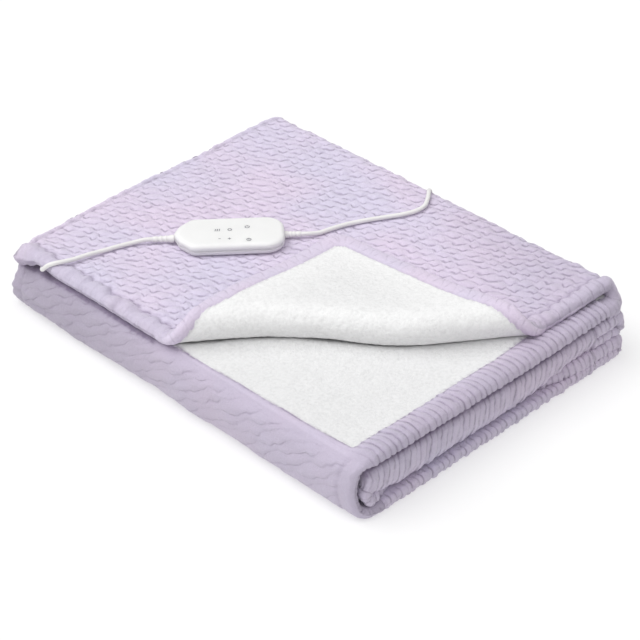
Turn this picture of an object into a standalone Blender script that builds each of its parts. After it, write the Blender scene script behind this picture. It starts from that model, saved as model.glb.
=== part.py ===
"""A folded electric heated throw with its hand control, lead, mains cord, stored coil and plug.

+X runs along the front right side, +Y along the front left side, +Z up. The stack rests on z = 0.
Sizes are in millimetres here and become metres where points are made.
"""

import math

import bmesh
import bpy
from mathutils import Matrix, Vector

MM = 0.001

# ---- The folded stack -------------------------------------------------------------------------
WRAP_X = -229.5  # outer face of the wrap, on the -X side
TURN_X = 221.0  # outer face of the three turned folds, on the +X side
PLY = 14.0  # thickness of one ply of the stack
TOP_PLY = 12.0  # thickness of the top ply, which carries no weight
WRAP_RADIUS = 15.0  # bend of the wrap's centre line at its top and bottom
WRAP_BULGE = 2.0  # how far the wrap's face swells between them
HEM_X = -222.0  # free hem of the top ply
TUCKED_HEM_X = -210.0  # free hem of the third ply, tucked inside the wrap
INNER_TURN_X = -212.5  # outside of the fold that lies inside the wrap
END_RADIUS = 6.0  # rounding of each ply's edges at the -Y and +Y ends
TOP_RISE = 5.0  # how much the top ply climbs towards its +X fold
TOP_RISE_FROM, TOP_RISE_TO = 60.0, 200.0

# Rounding of the stack's corners in plan.
CORNER_RADII = {
    # side, end: radius
    ("wrap", "front"): 34.0,
    ("wrap", "back"): 30.0,
    ("turn", "front"): 14.0,
    ("turn", "back"): 30.0,
}

# Each ply of the back-and-forth fold: the height of its centre line and its two ends along Y.
LEVELS = {
    # ply: (centre height, front end y, back end y)
    "top": (83.0, -281.0, 281.0),
    "second": (67.8, -300.0, 296.0),
    "third": (52.4, -298.0, 298.0),
    "fourth": (37.2, -299.0, 299.0),
    "fifth": (22.0, -301.0, 300.0),
    "bottom": (7.0, -302.0, 301.0),
}
LEVEL = 0

# Soft swells and hollows: the stack's height is scaled by 1 + share near each place.
SWELLS = [
    # x, y, reach, share
    (-229.0, 300.0, 95.0, -0.10),
    (223.0, 300.0, 110.0, -0.03),
    (215.0, -300.0, 90.0, 0.03),
    (-100.0, -300.0, 80.0, -0.02),
]

# The hem of the top ply stands open over the cord's exit.
EXIT_LIFT = 7.0
EXIT_LIFT_X, EXIT_LIFT_Y = -216.0, 258.0
EXIT_LIFT_REACH_X, EXIT_LIFT_REACH_Y = 34.0, 46.0

# The row's origin lies under the middle of the whole object without its mains cord.
MOVED = (4.5, 0.5)

# ---- The corner of the top ply, folded back ---------------------------------------------------
CREASE_POINT = (-56.0, -134.0)  # where the bend starts, half way along the crease
CREASE_ANGLE = 46.5  # the crease's square direction, from +X, pointing back over the stack
CREASE_RADIUS = 14.0  # bend of the ply's centre line
FLAP_GIVE = 1.06  # the soft corner is this much longer than the cloth it comes from
FLAP_REST_GAP = 1.5  # the turned corner lies this far above the ply below it
FLAP_SETTLES = 165.0  # length over which the loose bend sinks to that gap
CREASE_STEPS = 6
FLAP_STEP = 22.0

# ---- The cord and what is on it ---------------------------------------------------------------
CORD = 5.5  # diameter
CORD_STEP = 12.0  # distance between the points of a tube
SEAT = 0.3  # gap that touching pieces keep
STRAIGHT = 8.0  # each cord leaves its strain relief straight for this far

# Route of the lead from the hem to the hand control.
LEAD_ROUTE = [
    (-207.0, 256.0, 72.8),
    (-208.5, 246.0, 73.0),
    (-213.5, 236.5, 73.6),
    (-222.8, 229.0, 76.1),
    (-227.4, 220.0, 82.4),
    (-225.2, 212.0, 89.4),
    (-214.5, 206.0, 93.1),
    (-198.0, 200.0, 92.2),
    (-177.0, 195.0, 92.2),
    (-157.0, 190.0, 91.2),
    (-138.0, 184.0, 91.5),
    (-122.0, 177.0, 92.4),
]

# Route of the mains cord from the hand control, over the +X side and down to the coil.
MAINS_ROUTE = [
    (50.0, 36.0, 92.4),
    (66.0, 32.0, 92.5),
    (85.0, 26.0, 92.9),
    (102.0, 18.0, 93.4),
    (118.0, 8.5, 94.2),
    (134.0, -2.0, 95.2),
    (148.0, -11.0, 96.2),
    (162.0, -17.0, 97.0),
    (177.0, -17.5, 97.6),
    (190.0, -11.5, 97.9),
    (201.0, -1.0, 97.7),
    (210.5, 9.5, 96.2),
    (219.0, 18.5, 91.0),
    (225.5, 25.0, 81.5),
    (228.5, 28.5, 68.0),
    (229.0, 28.5, 53.0),
    (228.5, 23.5, 38.0),
    (228.0, 13.0, 25.5),
    (227.7, 2.5, 19.2),
    (227.5, -9.8, 15.0),
]

# Route of the mains cord from the coil to the plug.
PLUG_ROUTE = [
    (227.8, -51.3, 3.2),
    (230.2, -62.0, 3.8),
    (236.8, -74.0, 5.6),
]

# The coil, on the floor behind the +X side.
COIL_CENTRE = (261.2, -30.0)
COIL_RADIUS = 28.0  # centre line of its middle turns
COIL_PITCH = 5.7  # from turn to turn
COIL_TURNS_ACROSS = 3
COIL_TURNS_UP = 3

# The hand control.
CONTROL_CENTRE = (-34.0, 103.0)
CONTROL_ANGLE = -41.0
CONTROL_SEAT_Z = 89.4
CONTROL_BASE_HEIGHT = 8.0
CONTROL_HEIGHT = 17.0
CONTROL_EXIT_Z = 5.2  # above its underside, where both cords leave it
# Round corners of its outline, along its length, across, and their radius.
CONTROL_CORNERS = [
    (43.0, 5.0, 22.0),
    (43.0, -12.0, 22.0),
    (-41.0, 15.0, 12.0),
    (-41.0, -21.0, 12.0),
    (-57.8, -1.0, 8.1),
]
CONTROL_LEFT_X, CONTROL_RIGHT_X = -66.0, 65.0
LEFT_RELIEF_LENGTH, RIGHT_RELIEF_LENGTH = 26.0, 20.0

# The plug: a flat two pin one.
PLUG_WIDTH = 35.0
PLUG_HEIGHT = 13.8
PLUG_LENGTH = 36.0
PLUG_NECK_WIDTH = 15.0
PLUG_POINT = (241.4, -119.0)  # the end of its body that the cord enters
PIN_SPACING = 18.6
PIN_LENGTH = 19.0
PIN_DIAMETER = 4.0
PIN_SLEEVE_LENGTH = 10.0
PLUG_RELIEF_LENGTH = 22.0


# ---- Helpers ----------------------------------------------------------------------------------
def point(x, y, z):
    return Vector((x * MM, y * MM, z * MM))


def smooth_share(value, low, high):
    """0 below low, 1 above high, and a smooth climb between them."""
    share = min(max((value - low) / (high - low), 0.0), 1.0)
    return share * share * (3.0 - 2.0 * share)


def material(name, colour, roughness, metallic=0.0):
    made = bpy.data.materials.new(name)
    made.use_nodes = True
    shader = made.node_tree.nodes["Principled BSDF"]
    shader.inputs["Base Color"].default_value = (*colour, 1.0)
    shader.inputs["Roughness"].default_value = roughness
    shader.inputs["Metallic"].default_value = metallic
    return made


def add_object(name, bm, finish, smooth_angle=40.0):
    """Turns a bmesh into an object with its material, shaded smooth up to an angle."""
    bmesh.ops.recalc_face_normals(bm, faces=bm.faces)
    mesh = bpy.data.meshes.new(name)
    bm.to_mesh(mesh)
    bm.free()
    mesh.shade_smooth()
    mesh.set_sharp_from_angle(angle=math.radians(smooth_angle))
    mesh.materials.append(finish)
    made = bpy.data.objects.new(name, mesh)
    bpy.context.scene.collection.objects.link(made)
    return made


# ---- The blanket ------------------------------------------------------------------------------
class Station:
    """A place on the centre line of the folded cloth, in the plane across Y."""

    def __init__(self, x, z, heading, half, front, back):
        self.x, self.z = x, z
        self.normal = (-math.sin(heading), math.cos(heading))
        self.half = half
        self.front, self.back = front, back


def top_level(x):
    """Height of the top ply's centre line."""
    rise = TOP_RISE * smooth_share(x, TOP_RISE_FROM, TOP_RISE_TO)
    return LEVELS["top"][LEVEL] + rise


def run(ply, x_from, x_to, count, half, level=None):
    """A straight stretch of one ply, both ends included."""
    height, front, back = LEVELS[ply]
    heading = 0.0 if x_to > x_from else math.pi
    made = []
    for i in range(count + 1):
        x = x_from + (x_to - x_from) * i / count
        z = level(x) if level else height
        made.append(Station(x, z, heading, half, front, back))
    return made


def ends_between(ply_a, ply_b, z):
    """The two ends along Y at a height between two plies."""
    height_a, front_a, back_a = LEVELS[ply_a]
    height_b, front_b, back_b = LEVELS[ply_b]
    share = min(max((z - height_a) / (height_b - height_a), 0.0), 1.0)
    return front_a + (front_b - front_a) * share, back_a + (back_b - back_a) * share


def turn(ply_from, ply_to, centre, radius, start, sweep, count, halves):
    """A round bend between two plies, without its first and last place."""
    made = []
    for i in range(1, count):
        share = i / count
        angle = math.radians(start + sweep * share)
        heading = angle + math.copysign(math.pi / 2.0, sweep)
        x = centre[0] + radius * math.cos(angle)
        z = centre[1] + radius * math.sin(angle)
        half = halves[0] + (halves[1] - halves[0]) * share
        front, back = ends_between(ply_from, ply_to, z)
        made.append(Station(x, z, heading, half, front, back))
    return made


def free_end(stations, at_start):
    """Rounds the cloth's free hem by thinning its last few places."""
    edge = stations[0] if at_start else stations[-1]
    inward = stations[1] if at_start else stations[-2]
    way = math.copysign(1.0, inward.x - edge.x)
    made = []
    for inset, share in ((0.0, 0.30), (0.9, 0.66), (2.8, 0.90)):
        x = edge.x + way * inset
        rounded = Station(x, edge.z, 0.0, edge.half * share, edge.front, edge.back)
        rounded.normal = edge.normal
        made.append(rounded)
    rest = stations[1:] if at_start else stations[:-1]
    return made + rest if at_start else rest + made[::-1]


def fold_path():
    """The whole cloth from the top ply's hem to the tucked hem, as one line."""
    half, top_half = PLY / 2.0, TOP_PLY / 2.0
    second, third = LEVELS["second"][LEVEL], LEVELS["third"][LEVEL]
    fourth, fifth = LEVELS["fourth"][LEVEL], LEVELS["fifth"][LEVEL]
    bottom = LEVELS["bottom"][LEVEL]

    top_radius = (top_level(TOP_RISE_TO) - second) / 2.0
    top_turn_x = TURN_X - top_radius - half
    turn_radius = (third - fourth) / 2.0
    low_radius = (fifth - bottom) / 2.0
    turn_x = TURN_X - turn_radius - half
    inner_x = INNER_TURN_X + turn_radius + half
    face_x = WRAP_X + half + WRAP_BULGE

    path = run("top", HEM_X, top_turn_x, 16, top_half, top_level)
    path = free_end(path, True)
    centre = (top_turn_x, second + top_radius)
    path += turn("top", "second", centre, top_radius, 90.0, -180.0, 8, (top_half, half))

    corner_x = face_x + WRAP_RADIUS
    path += run("second", top_turn_x, corner_x, 9, half)
    high, low = (corner_x, second - WRAP_RADIUS), (corner_x, bottom + WRAP_RADIUS)
    path += turn("second", "bottom", high, WRAP_RADIUS, 90.0, 90.0, 5, (half, half))
    face_steps = 4
    for i in range(face_steps + 1):
        share = i / face_steps
        z = high[1] + (low[1] - high[1]) * share
        x = face_x - WRAP_BULGE * math.sin(math.pi * share)
        front, back = ends_between("second", "bottom", z)
        path.append(Station(x, z, -math.pi / 2.0, half, front, back))
    path += turn("second", "bottom", low, WRAP_RADIUS, 180.0, 90.0, 5, (half, half))

    path += run("bottom", corner_x, turn_x, 8, half)
    centre = (turn_x, bottom + low_radius)
    path += turn("bottom", "fifth", centre, low_radius, -90.0, 180.0, 7, (half, half))
    path += run("fifth", turn_x, inner_x, 6, half)
    centre = (inner_x, fifth + turn_radius)
    path += turn("fifth", "fourth", centre, turn_radius, -90.0, -180.0, 7, (half, half))
    path += run("fourth", inner_x, turn_x, 6, half)
    centre = (turn_x, fourth + turn_radius)
    path += turn("fourth", "third", centre, turn_radius, -90.0, 180.0, 7, (half, half))
    path += free_end(run("third", turn_x, TUCKED_HEM_X, 6, half), False)
    return path


def corner_inset(x, end):
    """How far one end draws in near the stack's corners, seen from above."""
    middle, reach = (WRAP_X + TURN_X) / 2.0, (TURN_X - WRAP_X) / 2.0
    radius = CORNER_RADII["wrap" if x < middle else "turn", end]
    past = min(max(abs(x - middle) - (reach - radius), 0.0), radius)
    return 0.8 * (radius - math.sqrt(radius**2 - past**2))


def swell(x, y):
    """Scale of the stack's height at a place."""
    scale = 1.0
    for at_x, at_y, reach, share in SWELLS:
        apart = ((x - at_x) ** 2 + (y - at_y) ** 2) / reach**2
        scale += share * math.exp(-apart)
    return scale


def exit_lift(x, y):
    """How far the top ply's hem is held up over the cord's exit."""
    across = (x - EXIT_LIFT_X) / EXIT_LIFT_REACH_X
    along = (y - EXIT_LIFT_Y) / EXIT_LIFT_REACH_Y
    return EXIT_LIFT * math.exp(-(across**4) - along**4)


def end_stations():
    """Places along Y as (share of the length, inset from the end, share of the thickness)."""
    ends = [(0.0, 0.28), (0.14, 0.66), (0.45, 0.90), (1.0, 1.0)]
    made = [(0.0, inset * END_RADIUS, thick) for inset, thick in ends]
    for share in (0.08, 0.19, 0.31, 0.43, 0.56, 0.68, 0.80, 0.91):
        made.append((share, 0.0, 1.0))
    made += [(1.0, -inset * END_RADIUS, thick) for inset, thick in reversed(ends)]
    return made


def folded_cloth():
    """Extrudes the fold's section along Y, then puts each point in its place."""
    path = fold_path()
    rows = end_stations()
    bm = bmesh.new()
    place = bm.verts.layers.int.new("place")
    side = bm.verts.layers.int.new("side")
    row_of = bm.verts.layers.int.new("row")

    chain = [(i, 1) for i in range(len(path))] + [(i, -1) for i in reversed(range(len(path)))]
    ring = []
    for index, up in chain:
        vertex = bm.verts.new((0.0, 0.0, 0.0))
        vertex[place], vertex[side] = index, up
        ring.append(vertex)
    edges = [bm.edges.new((ring[i - 1], ring[i])) for i in range(len(ring))]
    for row in range(1, len(rows)):
        grown = bmesh.ops.extrude_edge_only(bm, edges=edges)["geom"]
        edges = [part for part in grown if isinstance(part, bmesh.types.BMEdge)]
        for part in grown:
            if isinstance(part, bmesh.types.BMVert):
                part[row_of] = row
        edges = [edge for edge in edges if edge.is_boundary]

    # Close both ends with a strip between the two faces of the cloth.
    found = {(v[row_of], v[place], v[side]): v for v in bm.verts}
    for row in (0, len(rows) - 1):
        for i in range(len(path) - 1):
            corners = [(i, 1), (i + 1, 1), (i + 1, -1), (i, -1)]
            bm.faces.new([found[(row, index, up)] for index, up in corners])

    for vertex in bm.verts:
        station = path[vertex[place]]
        share, inset, thick = rows[vertex[row_of]]
        front = station.front + corner_inset(station.x, "front")
        back = station.back - corner_inset(station.x, "back")
        y = front + (back - front) * share + inset
        offset = station.half * thick * vertex[side]
        x = station.x + station.normal[0] * offset
        z = station.z + station.normal[1] * offset
        vertex.co = point(x, y, z)
    return bm


def bend_corner(bm):
    """Folds the top ply's front corner back over the stack, round a loose crease."""
    angle = math.radians(CREASE_ANGLE)
    inward = Vector((math.cos(angle), math.sin(angle), 0.0))
    origin = point(*CREASE_POINT, 0.0)
    under = (LEVELS["top"][LEVEL] - TOP_PLY / 2.0 - 1.0) * MM

    arc = math.pi * CREASE_RADIUS
    cuts = [arc * i / CREASE_STEPS for i in range(CREASE_STEPS + 1)]
    reach = arc
    while reach < 200.0:
        reach += FLAP_STEP
        cuts.append(reach)
    for cut in cuts:
        faces = [f for f in bm.faces if all(v.co.z > under for v in f.verts)]
        geometry = set(faces)
        for face in faces:
            geometry.update(face.edges)
            geometry.update(face.verts)
        spot = origin - inward * cut / FLAP_GIVE * MM
        bmesh.ops.bisect_plane(bm, geom=list(geometry), dist=1e-6, plane_co=spot, plane_no=inward)

    flat = LEVELS["top"][LEVEL]
    rest = flat + TOP_PLY + FLAP_REST_GAP
    for vertex in bm.verts:
        if vertex.co.z < under:
            continue
        past = -(vertex.co - origin).dot(inward) / MM
        if past <= 0.0:
            continue
        vertex.co -= inward * (FLAP_GIVE - 1.0) * past * MM
        past *= FLAP_GIVE
        level = top_level(vertex.co.x / MM)
        radius = CREASE_RADIUS - (vertex.co.z / MM - level)
        if past < arc:
            bend = past / CREASE_RADIUS
            moved = radius * math.sin(bend)
            height = level + CREASE_RADIUS - radius * math.cos(bend)
        else:
            over = past - arc
            moved = -over
            loose = 1.0 - smooth_share(over, 0.0, FLAP_SETTLES)
            centre = rest + (level + 2.0 * CREASE_RADIUS - rest) * loose
            height = centre + radius - CREASE_RADIUS
        vertex.co -= inward * (moved - past) * MM
        vertex.co.z = height * MM


def make_blanket(finish):
    bm = folded_cloth()
    lowest = (LEVELS["top"][LEVEL] - TOP_PLY / 2.0 - 1.0) * MM
    bend_corner(bm)
    for vertex in bm.verts:
        x, y = vertex.co.x / MM, vertex.co.y / MM
        if vertex.co.z > lowest:
            vertex.co.z += exit_lift(x, y) * MM
        vertex.co.z *= swell(x, y)
    return add_object("blanket", bm, finish, 50.0)


# ---- The hand control -------------------------------------------------------------------------
def wrap_up(bm):
    """Turns loose points into the solid that just holds them."""
    made = bmesh.ops.convex_hull(bm, input=bm.verts)
    inside = set(made["geom_interior"] + made["geom_unused"])
    unused = [part for part in inside if isinstance(part, bmesh.types.BMVert)]
    bmesh.ops.delete(bm, geom=unused, context="VERTS")


def hull(rings):
    """The solid that just holds a set of level circles, each (x, y, radius, z, steps)."""
    bm = bmesh.new()
    for x, y, radius, z, steps in rings:
        spot = Matrix.Translation(point(x, y, z))
        bmesh.ops.create_circle(bm, segments=steps, radius=radius * MM, matrix=spot)
    wrap_up(bm)
    bmesh.ops.dissolve_limit(
        bm, angle_limit=math.radians(0.5), verts=bm.verts, edges=bm.edges, delimit=set()
    )
    return bm


def control_shell(name, profile, finish):
    """One shell of the hand control. The profile is a list of (height, draw-in)."""
    rings = []
    for z, inset in profile:
        for x, y, radius in CONTROL_CORNERS:
            rings.append((x, y, radius - inset, z, 20))
    shell = add_object(name, hull(rings), finish)
    shell.parent = control_frame()
    return shell


def control_frame():
    """The empty that carries the hand control's pieces."""
    found = bpy.data.objects.get("control_place")
    if found is None:
        found = bpy.data.objects.new("control_place", None)
        bpy.context.scene.collection.objects.link(found)
        found.location = point(*CONTROL_CENTRE, CONTROL_SEAT_Z)
        found.rotation_euler.z = math.radians(CONTROL_ANGLE)
    return found


def turned(name, profile, finish, location, yaw, steps=16, parent=None):
    """A piece turned about its own length, which runs along +X. Profile: (along, radius)."""
    bm = bmesh.new()
    outline = [bm.verts.new((along * MM, 0.0, radius * MM)) for along, radius in profile]
    edges = [bm.edges.new(pair) for pair in zip(outline, outline[1:])]
    bmesh.ops.spin(
        bm,
        geom=outline + edges,
        cent=(0.0, 0.0, 0.0),
        axis=(1.0, 0.0, 0.0),
        angle=2.0 * math.pi,
        steps=steps,
        use_merge=True,
    )
    bmesh.ops.remove_doubles(bm, verts=bm.verts, dist=1e-6)
    bmesh.ops.holes_fill(bm, edges=bm.edges)
    made = add_object(name, bm, finish)
    made.location = location
    made.rotation_euler.z = math.radians(yaw)
    made.parent = parent
    return made


def relief_profile(length, wide, narrow):
    """A tapered strain relief with three shallow rings."""
    step = length / 8.0
    made = [(0.0, wide), (step * 1.5, wide)]
    for ring in range(3):
        start = step * (2.0 + ring * 1.7)
        radius = wide + (narrow - wide) * (start / length)
        made += [(start, radius - 0.5), (start + step * 0.5, radius - 0.6), (start + step, radius)]
    made += [(length, narrow)]
    return made


def make_control(finish):
    low, high = CONTROL_BASE_HEIGHT, CONTROL_HEIGHT
    control_shell("control_base", [(0.0, 3.0), (1.2, 1.2), (3.0, 0.3), (low, 0.0)], finish)
    upper = [
        # height, draw-in
        (low + SEAT, 0.0),
        (high - 4.0, 0.6),
        (high - 1.6, 2.0),
        (high - 0.4, 4.2),
        (high, 6.5),
    ]
    control_shell("control_cover", upper, finish)


def make_reliefs(finish):
    frame = control_frame()
    left = relief_profile(LEFT_RELIEF_LENGTH, 4.7, 3.2)
    spot = point(CONTROL_LEFT_X - SEAT, 0.0, CONTROL_EXIT_Z)
    turned("relief_left", left, finish, spot, 180.0, parent=frame)
    right = relief_profile(RIGHT_RELIEF_LENGTH, 4.3, 3.2)
    spot = point(CONTROL_RIGHT_X + SEAT, 0.0, CONTROL_EXIT_Z)
    turned("relief_right", right, finish, spot, 0.0, parent=frame)


def from_control(along, height):
    """A place on the hand control's own axis, in the row's frame, in millimetres."""
    angle = math.radians(CONTROL_ANGLE)
    x = CONTROL_CENTRE[0] + along * math.cos(angle)
    y = CONTROL_CENTRE[1] + along * math.sin(angle)
    return (x, y, CONTROL_SEAT_Z + height)


# ---- Cords ------------------------------------------------------------------------------------
def smooth_route(route, step):
    """Points a step apart on one smooth curve through the route's own points."""
    ways = [Vector(p) for p in route]
    before, after = 2.0 * ways[0] - ways[1], 2.0 * ways[-1] - ways[-2]
    knots = [before] + ways + [after]
    fine = []
    for a, b, c, d in zip(knots, knots[1:], knots[2:], knots[3:]):
        for i in range(24):
            t = i / 24.0
            fine.append(
                0.5
                * (
                    2.0 * b
                    + (c - a) * t
                    + (2.0 * a - 5.0 * b + 4.0 * c - d) * t**2
                    + (3.0 * b - a - 3.0 * c + d) * t**3
                )
            )
    fine.append(ways[-1])
    length = sum((q - p).length for p, q in zip(fine, fine[1:]))
    count = max(3, round(length / step))
    made, walked, target = [fine[0]], 0.0, length / count
    for p, q in zip(fine, fine[1:]):
        part = (q - p).length
        while walked + part >= target - 1e-6 and len(made) < count:
            made.append(p.lerp(q, (target - walked) / part))
            target += length / count
        walked += part
    made.append(fine[-1])
    return made


def tube(name, route, finish):
    """A round cord along a route."""
    curve = bpy.data.curves.new(name, "CURVE")
    curve.dimensions = "3D"
    curve.bevel_depth = CORD / 2.0 * MM
    curve.bevel_resolution = 2
    curve.use_fill_caps = True
    points = smooth_route(route, CORD_STEP)
    spline = curve.splines.new("POLY")
    spline.points.add(len(points) - 1)
    for spot, at in zip(spline.points, points):
        spot.co = (*(at * MM), 1.0)
    curve.materials.append(finish)
    made = bpy.data.objects.new(name, curve)
    bpy.context.scene.collection.objects.link(made)
    return made


def make_cords(finish):
    left = CONTROL_LEFT_X - LEFT_RELIEF_LENGTH - 2.0 * SEAT
    left_ends = [from_control(left - STRAIGHT, CONTROL_EXIT_Z), from_control(left, CONTROL_EXIT_Z)]
    tube("lead_cord", LEAD_ROUTE + left_ends, finish)
    right = CONTROL_RIGHT_X + RIGHT_RELIEF_LENGTH + 2.0 * SEAT
    right_ends = [from_control(right, CONTROL_EXIT_Z), from_control(right + STRAIGHT, CONTROL_EXIT_Z)]
    tube("mains_cord", right_ends + MAINS_ROUTE, finish)
    x, y = PLUG_POINT
    y += PLUG_RELIEF_LENGTH + 2.0 * SEAT
    plug_ends = [(x, y + STRAIGHT, PLUG_HEIGHT / 2.0), (x, y, PLUG_HEIGHT / 2.0)]
    tube("plug_cord", PLUG_ROUTE + plug_ends, finish)


def make_coil(finish):
    """The outer shape of the wound cord: a turned ring."""
    half_width = COIL_PITCH * (COIL_TURNS_ACROSS - 1) / 2.0 + CORD / 2.0
    height = COIL_PITCH * (COIL_TURNS_UP - 1) + CORD
    base = 0.1
    round_off = 2.0
    section = []
    corners = [(-1, 0, 180.0), (1, 0, 270.0), (1, 1, 0.0), (-1, 1, 90.0)]
    for across, up, start in corners:
        x = COIL_RADIUS + across * (half_width - round_off)
        z = base + round_off if not up else base + height - round_off
        for step in range(3):
            angle = math.radians(start + 45.0 * step)
            section.append((x + round_off * math.cos(angle), z + round_off * math.sin(angle)))
    bm = bmesh.new()
    ring = [bm.verts.new((x * MM, 0.0, z * MM)) for x, z in section]
    edges = [bm.edges.new((ring[i - 1], ring[i])) for i in range(len(ring))]
    bmesh.ops.spin(
        bm,
        geom=ring + edges,
        cent=(0.0, 0.0, 0.0),
        axis=(0.0, 0.0, 1.0),
        angle=2.0 * math.pi,
        steps=28,
        use_merge=True,
    )
    bmesh.ops.remove_doubles(bm, verts=bm.verts, dist=1e-6)
    made = add_object("mains_coil", bm, finish)
    made.location = point(*COIL_CENTRE, 0.0)


def make_blanket_relief(finish):
    """The strain relief sewn under the top ply's hem, where the lead comes out."""
    start = Vector(LEAD_ROUTE[0])
    way = Vector(LEAD_ROUTE[0]) - Vector(LEAD_ROUTE[1])
    way.z = 0.0
    length = 24.0
    tail = start + way.normalized() * (length + SEAT)
    yaw = math.degrees(math.atan2(-way.y, -way.x))
    profile = [(0.0, 3.2), (8.0, 3.2), (9.0, 3.0), (17.0, 2.9), (length, 2.8)]
    turned("blanket_relief", profile, finish, tail * MM, yaw, steps=12)


# ---- The plug ---------------------------------------------------------------------------------
def make_plug(white, metal):
    plug = bpy.data.objects.new("plug_place", None)
    bpy.context.scene.collection.objects.link(plug)
    plug.location = point(*PLUG_POINT, 0.15)
    plug.rotation_euler.z = math.radians(-90.0)
    middle = PLUG_HEIGHT / 2.0

    # The body, which swells from the cord's neck to the pins' face. Its length runs along +X.
    sections = [
        # along, width, height
        (0.0, PLUG_NECK_WIDTH, 10.0),
        (12.0, 24.0, PLUG_HEIGHT),
        (PLUG_LENGTH, PLUG_WIDTH, PLUG_HEIGHT),
    ]
    bm = bmesh.new()
    for along, width, height in sections:
        for edge in (-1, 1):
            for up in (-1, 1):
                for cut_y, cut_z in ((0.0, 3.5), (3.5, 0.0)):
                    y = edge * (width / 2.0 - cut_y)
                    z = middle + up * (height / 2.0 - cut_z)
                    bm.verts.new(point(along, y, z))
    wrap_up(bm)
    body = add_object("plug_body", bm, white)
    body.parent = plug

    radius = PIN_DIAMETER / 2.0
    pin = [
        (0.0, radius - 0.1),
        (PIN_SLEEVE_LENGTH, radius - 0.1),
        (PIN_SLEEVE_LENGTH, radius),
        (PIN_LENGTH - 1.5, radius),
        (PIN_LENGTH - 0.4, radius - 0.7),
        (PIN_LENGTH, radius - 1.5),
    ]
    for name, way in (("plug_pin_a", -1.0), ("plug_pin_b", 1.0)):
        spot = point(PLUG_LENGTH + SEAT, way * PIN_SPACING / 2.0, middle)
        turned(name, pin, metal, spot, 0.0, steps=16, parent=plug)
    relief = relief_profile(PLUG_RELIEF_LENGTH, 4.4, 3.1)
    turned("plug_relief", relief, white, point(-SEAT, 0.0, middle), 180.0, parent=plug)


def main():
    for old in list(bpy.data.objects):
        bpy.data.objects.remove(old)
    plush = material("lavender_plush", (0.66, 0.58, 0.74), 0.95)
    plastic = material("white_plastic", (0.90, 0.90, 0.89), 0.38)
    sheath = material("white_cord", (0.88, 0.88, 0.87), 0.5)
    metal = material("nickel_pin", (0.78, 0.77, 0.74), 0.25, 1.0)
    make_blanket(plush)
    make_control(plastic)
    make_reliefs(sheath)
    make_blanket_relief(sheath)
    make_cords(sheath)
    make_coil(sheath)
    make_plug(plastic, metal)
    for made in bpy.data.objects:
        if made.parent is None:
            made.location += point(*MOVED, 0.0)


main()
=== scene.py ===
"""Dresses the folded electric heated throw: embossed plush, curly lining, hand control and cords.

Lengths in the code are in millimetres and become metres where points are made. The throw is one
back-and-forth fold of cloth, cut into shells so that each keeps a fine enough mesh.
"""

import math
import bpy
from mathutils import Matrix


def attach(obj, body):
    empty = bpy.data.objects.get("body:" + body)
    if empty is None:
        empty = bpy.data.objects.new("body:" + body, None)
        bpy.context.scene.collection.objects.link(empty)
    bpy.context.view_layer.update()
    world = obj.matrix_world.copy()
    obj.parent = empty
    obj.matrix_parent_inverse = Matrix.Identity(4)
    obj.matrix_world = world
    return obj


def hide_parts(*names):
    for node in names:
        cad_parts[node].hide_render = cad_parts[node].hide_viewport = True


bl_info = {
    "name": "Folded Heated Throw",
    "version": (1, 0, 0),
    "blender": (4, 5, 0),
    "location": "View3D > Sidebar > Throw",
    "description": "Builds a folded electric heated throw with its hand control, cords and plug",
    "category": "Add Mesh",
}

import bmesh
import bpy
from bpy.props import FloatProperty, FloatVectorProperty, PointerProperty
from mathutils import Matrix, Vector, kdtree, noise

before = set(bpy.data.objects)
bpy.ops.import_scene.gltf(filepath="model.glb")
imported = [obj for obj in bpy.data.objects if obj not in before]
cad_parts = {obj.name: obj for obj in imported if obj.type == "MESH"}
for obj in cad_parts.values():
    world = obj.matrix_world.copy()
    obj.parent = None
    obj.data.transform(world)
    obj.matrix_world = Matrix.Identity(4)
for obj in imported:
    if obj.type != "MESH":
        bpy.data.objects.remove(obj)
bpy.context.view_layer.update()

MM = 0.001
FULL_TURN = 2.0 * math.pi
MOVED = Vector((4.5, 0.5, 0.0))  # from the fold's own lengths to the frame's origin

# ---- The fold, as in the solids ----------------------------------------------------------------
WRAP_X, TURN_X = -229.5, 221.0
PLY, TOP_PLY = 14.0, 12.0
HALF = PLY / 2.0
WRAP_RADIUS, WRAP_BULGE = 15.0, 2.0
HEM_X, TUCKED_HEM_X, INNER_TURN_X = -222.0, -210.0, -212.5
TOP_RISE, TOP_RISE_FROM, TOP_RISE_TO = 5.0, 60.0, 200.0
CORNER_RADII = {
    # side, end: radius
    ("wrap", "front"): 34.0,
    ("wrap", "back"): 30.0,
    ("turn", "front"): 14.0,
    ("turn", "back"): 30.0,
}
CORNER_SHARE = 0.8  # how much of a corner's round the ends draw in
LEVELS = {
    # ply: (centre height, front end y, back end y)
    "top": (83.0, -281.0, 281.0),
    "second": (67.8, -300.0, 296.0),
    "third": (52.4, -298.0, 298.0),
    "fourth": (37.2, -299.0, 299.0),
    "fifth": (22.0, -301.0, 300.0),
    "bottom": (7.0, -302.0, 301.0),
}
LOWEST, LOWER_TWO, UPPER_TWO = 12.0, 30.0, 60.0  # heights between the plies
TURN_RADIUS = (LEVELS["third"][0] - LEVELS["fourth"][0]) / 2.0
FLOOR_GAP = 0.02
SWELLS = [
    # x, y, reach, share
    (-229.0, 300.0, 95.0, -0.10),
    (223.0, 300.0, 110.0, -0.03),
    (215.0, -300.0, 90.0, 0.03),
    (-100.0, -300.0, 80.0, -0.02),
]
EXIT_LIFT = 7.0
EXIT_LIFT_X, EXIT_LIFT_Y = -216.0, 258.0
EXIT_LIFT_REACH_X, EXIT_LIFT_REACH_Y = 34.0, 46.0
EXIT_CORNER, EXIT_CORNER_MOVE = (-226.0, 284.0, 26.0), (4.0, -3.5, -6.5)  # x, y, reach, and its drop
TUCKED_CORNER = (-229.0, 300.0, 60.0)  # x, y, reach of the wrap's back corner
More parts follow.
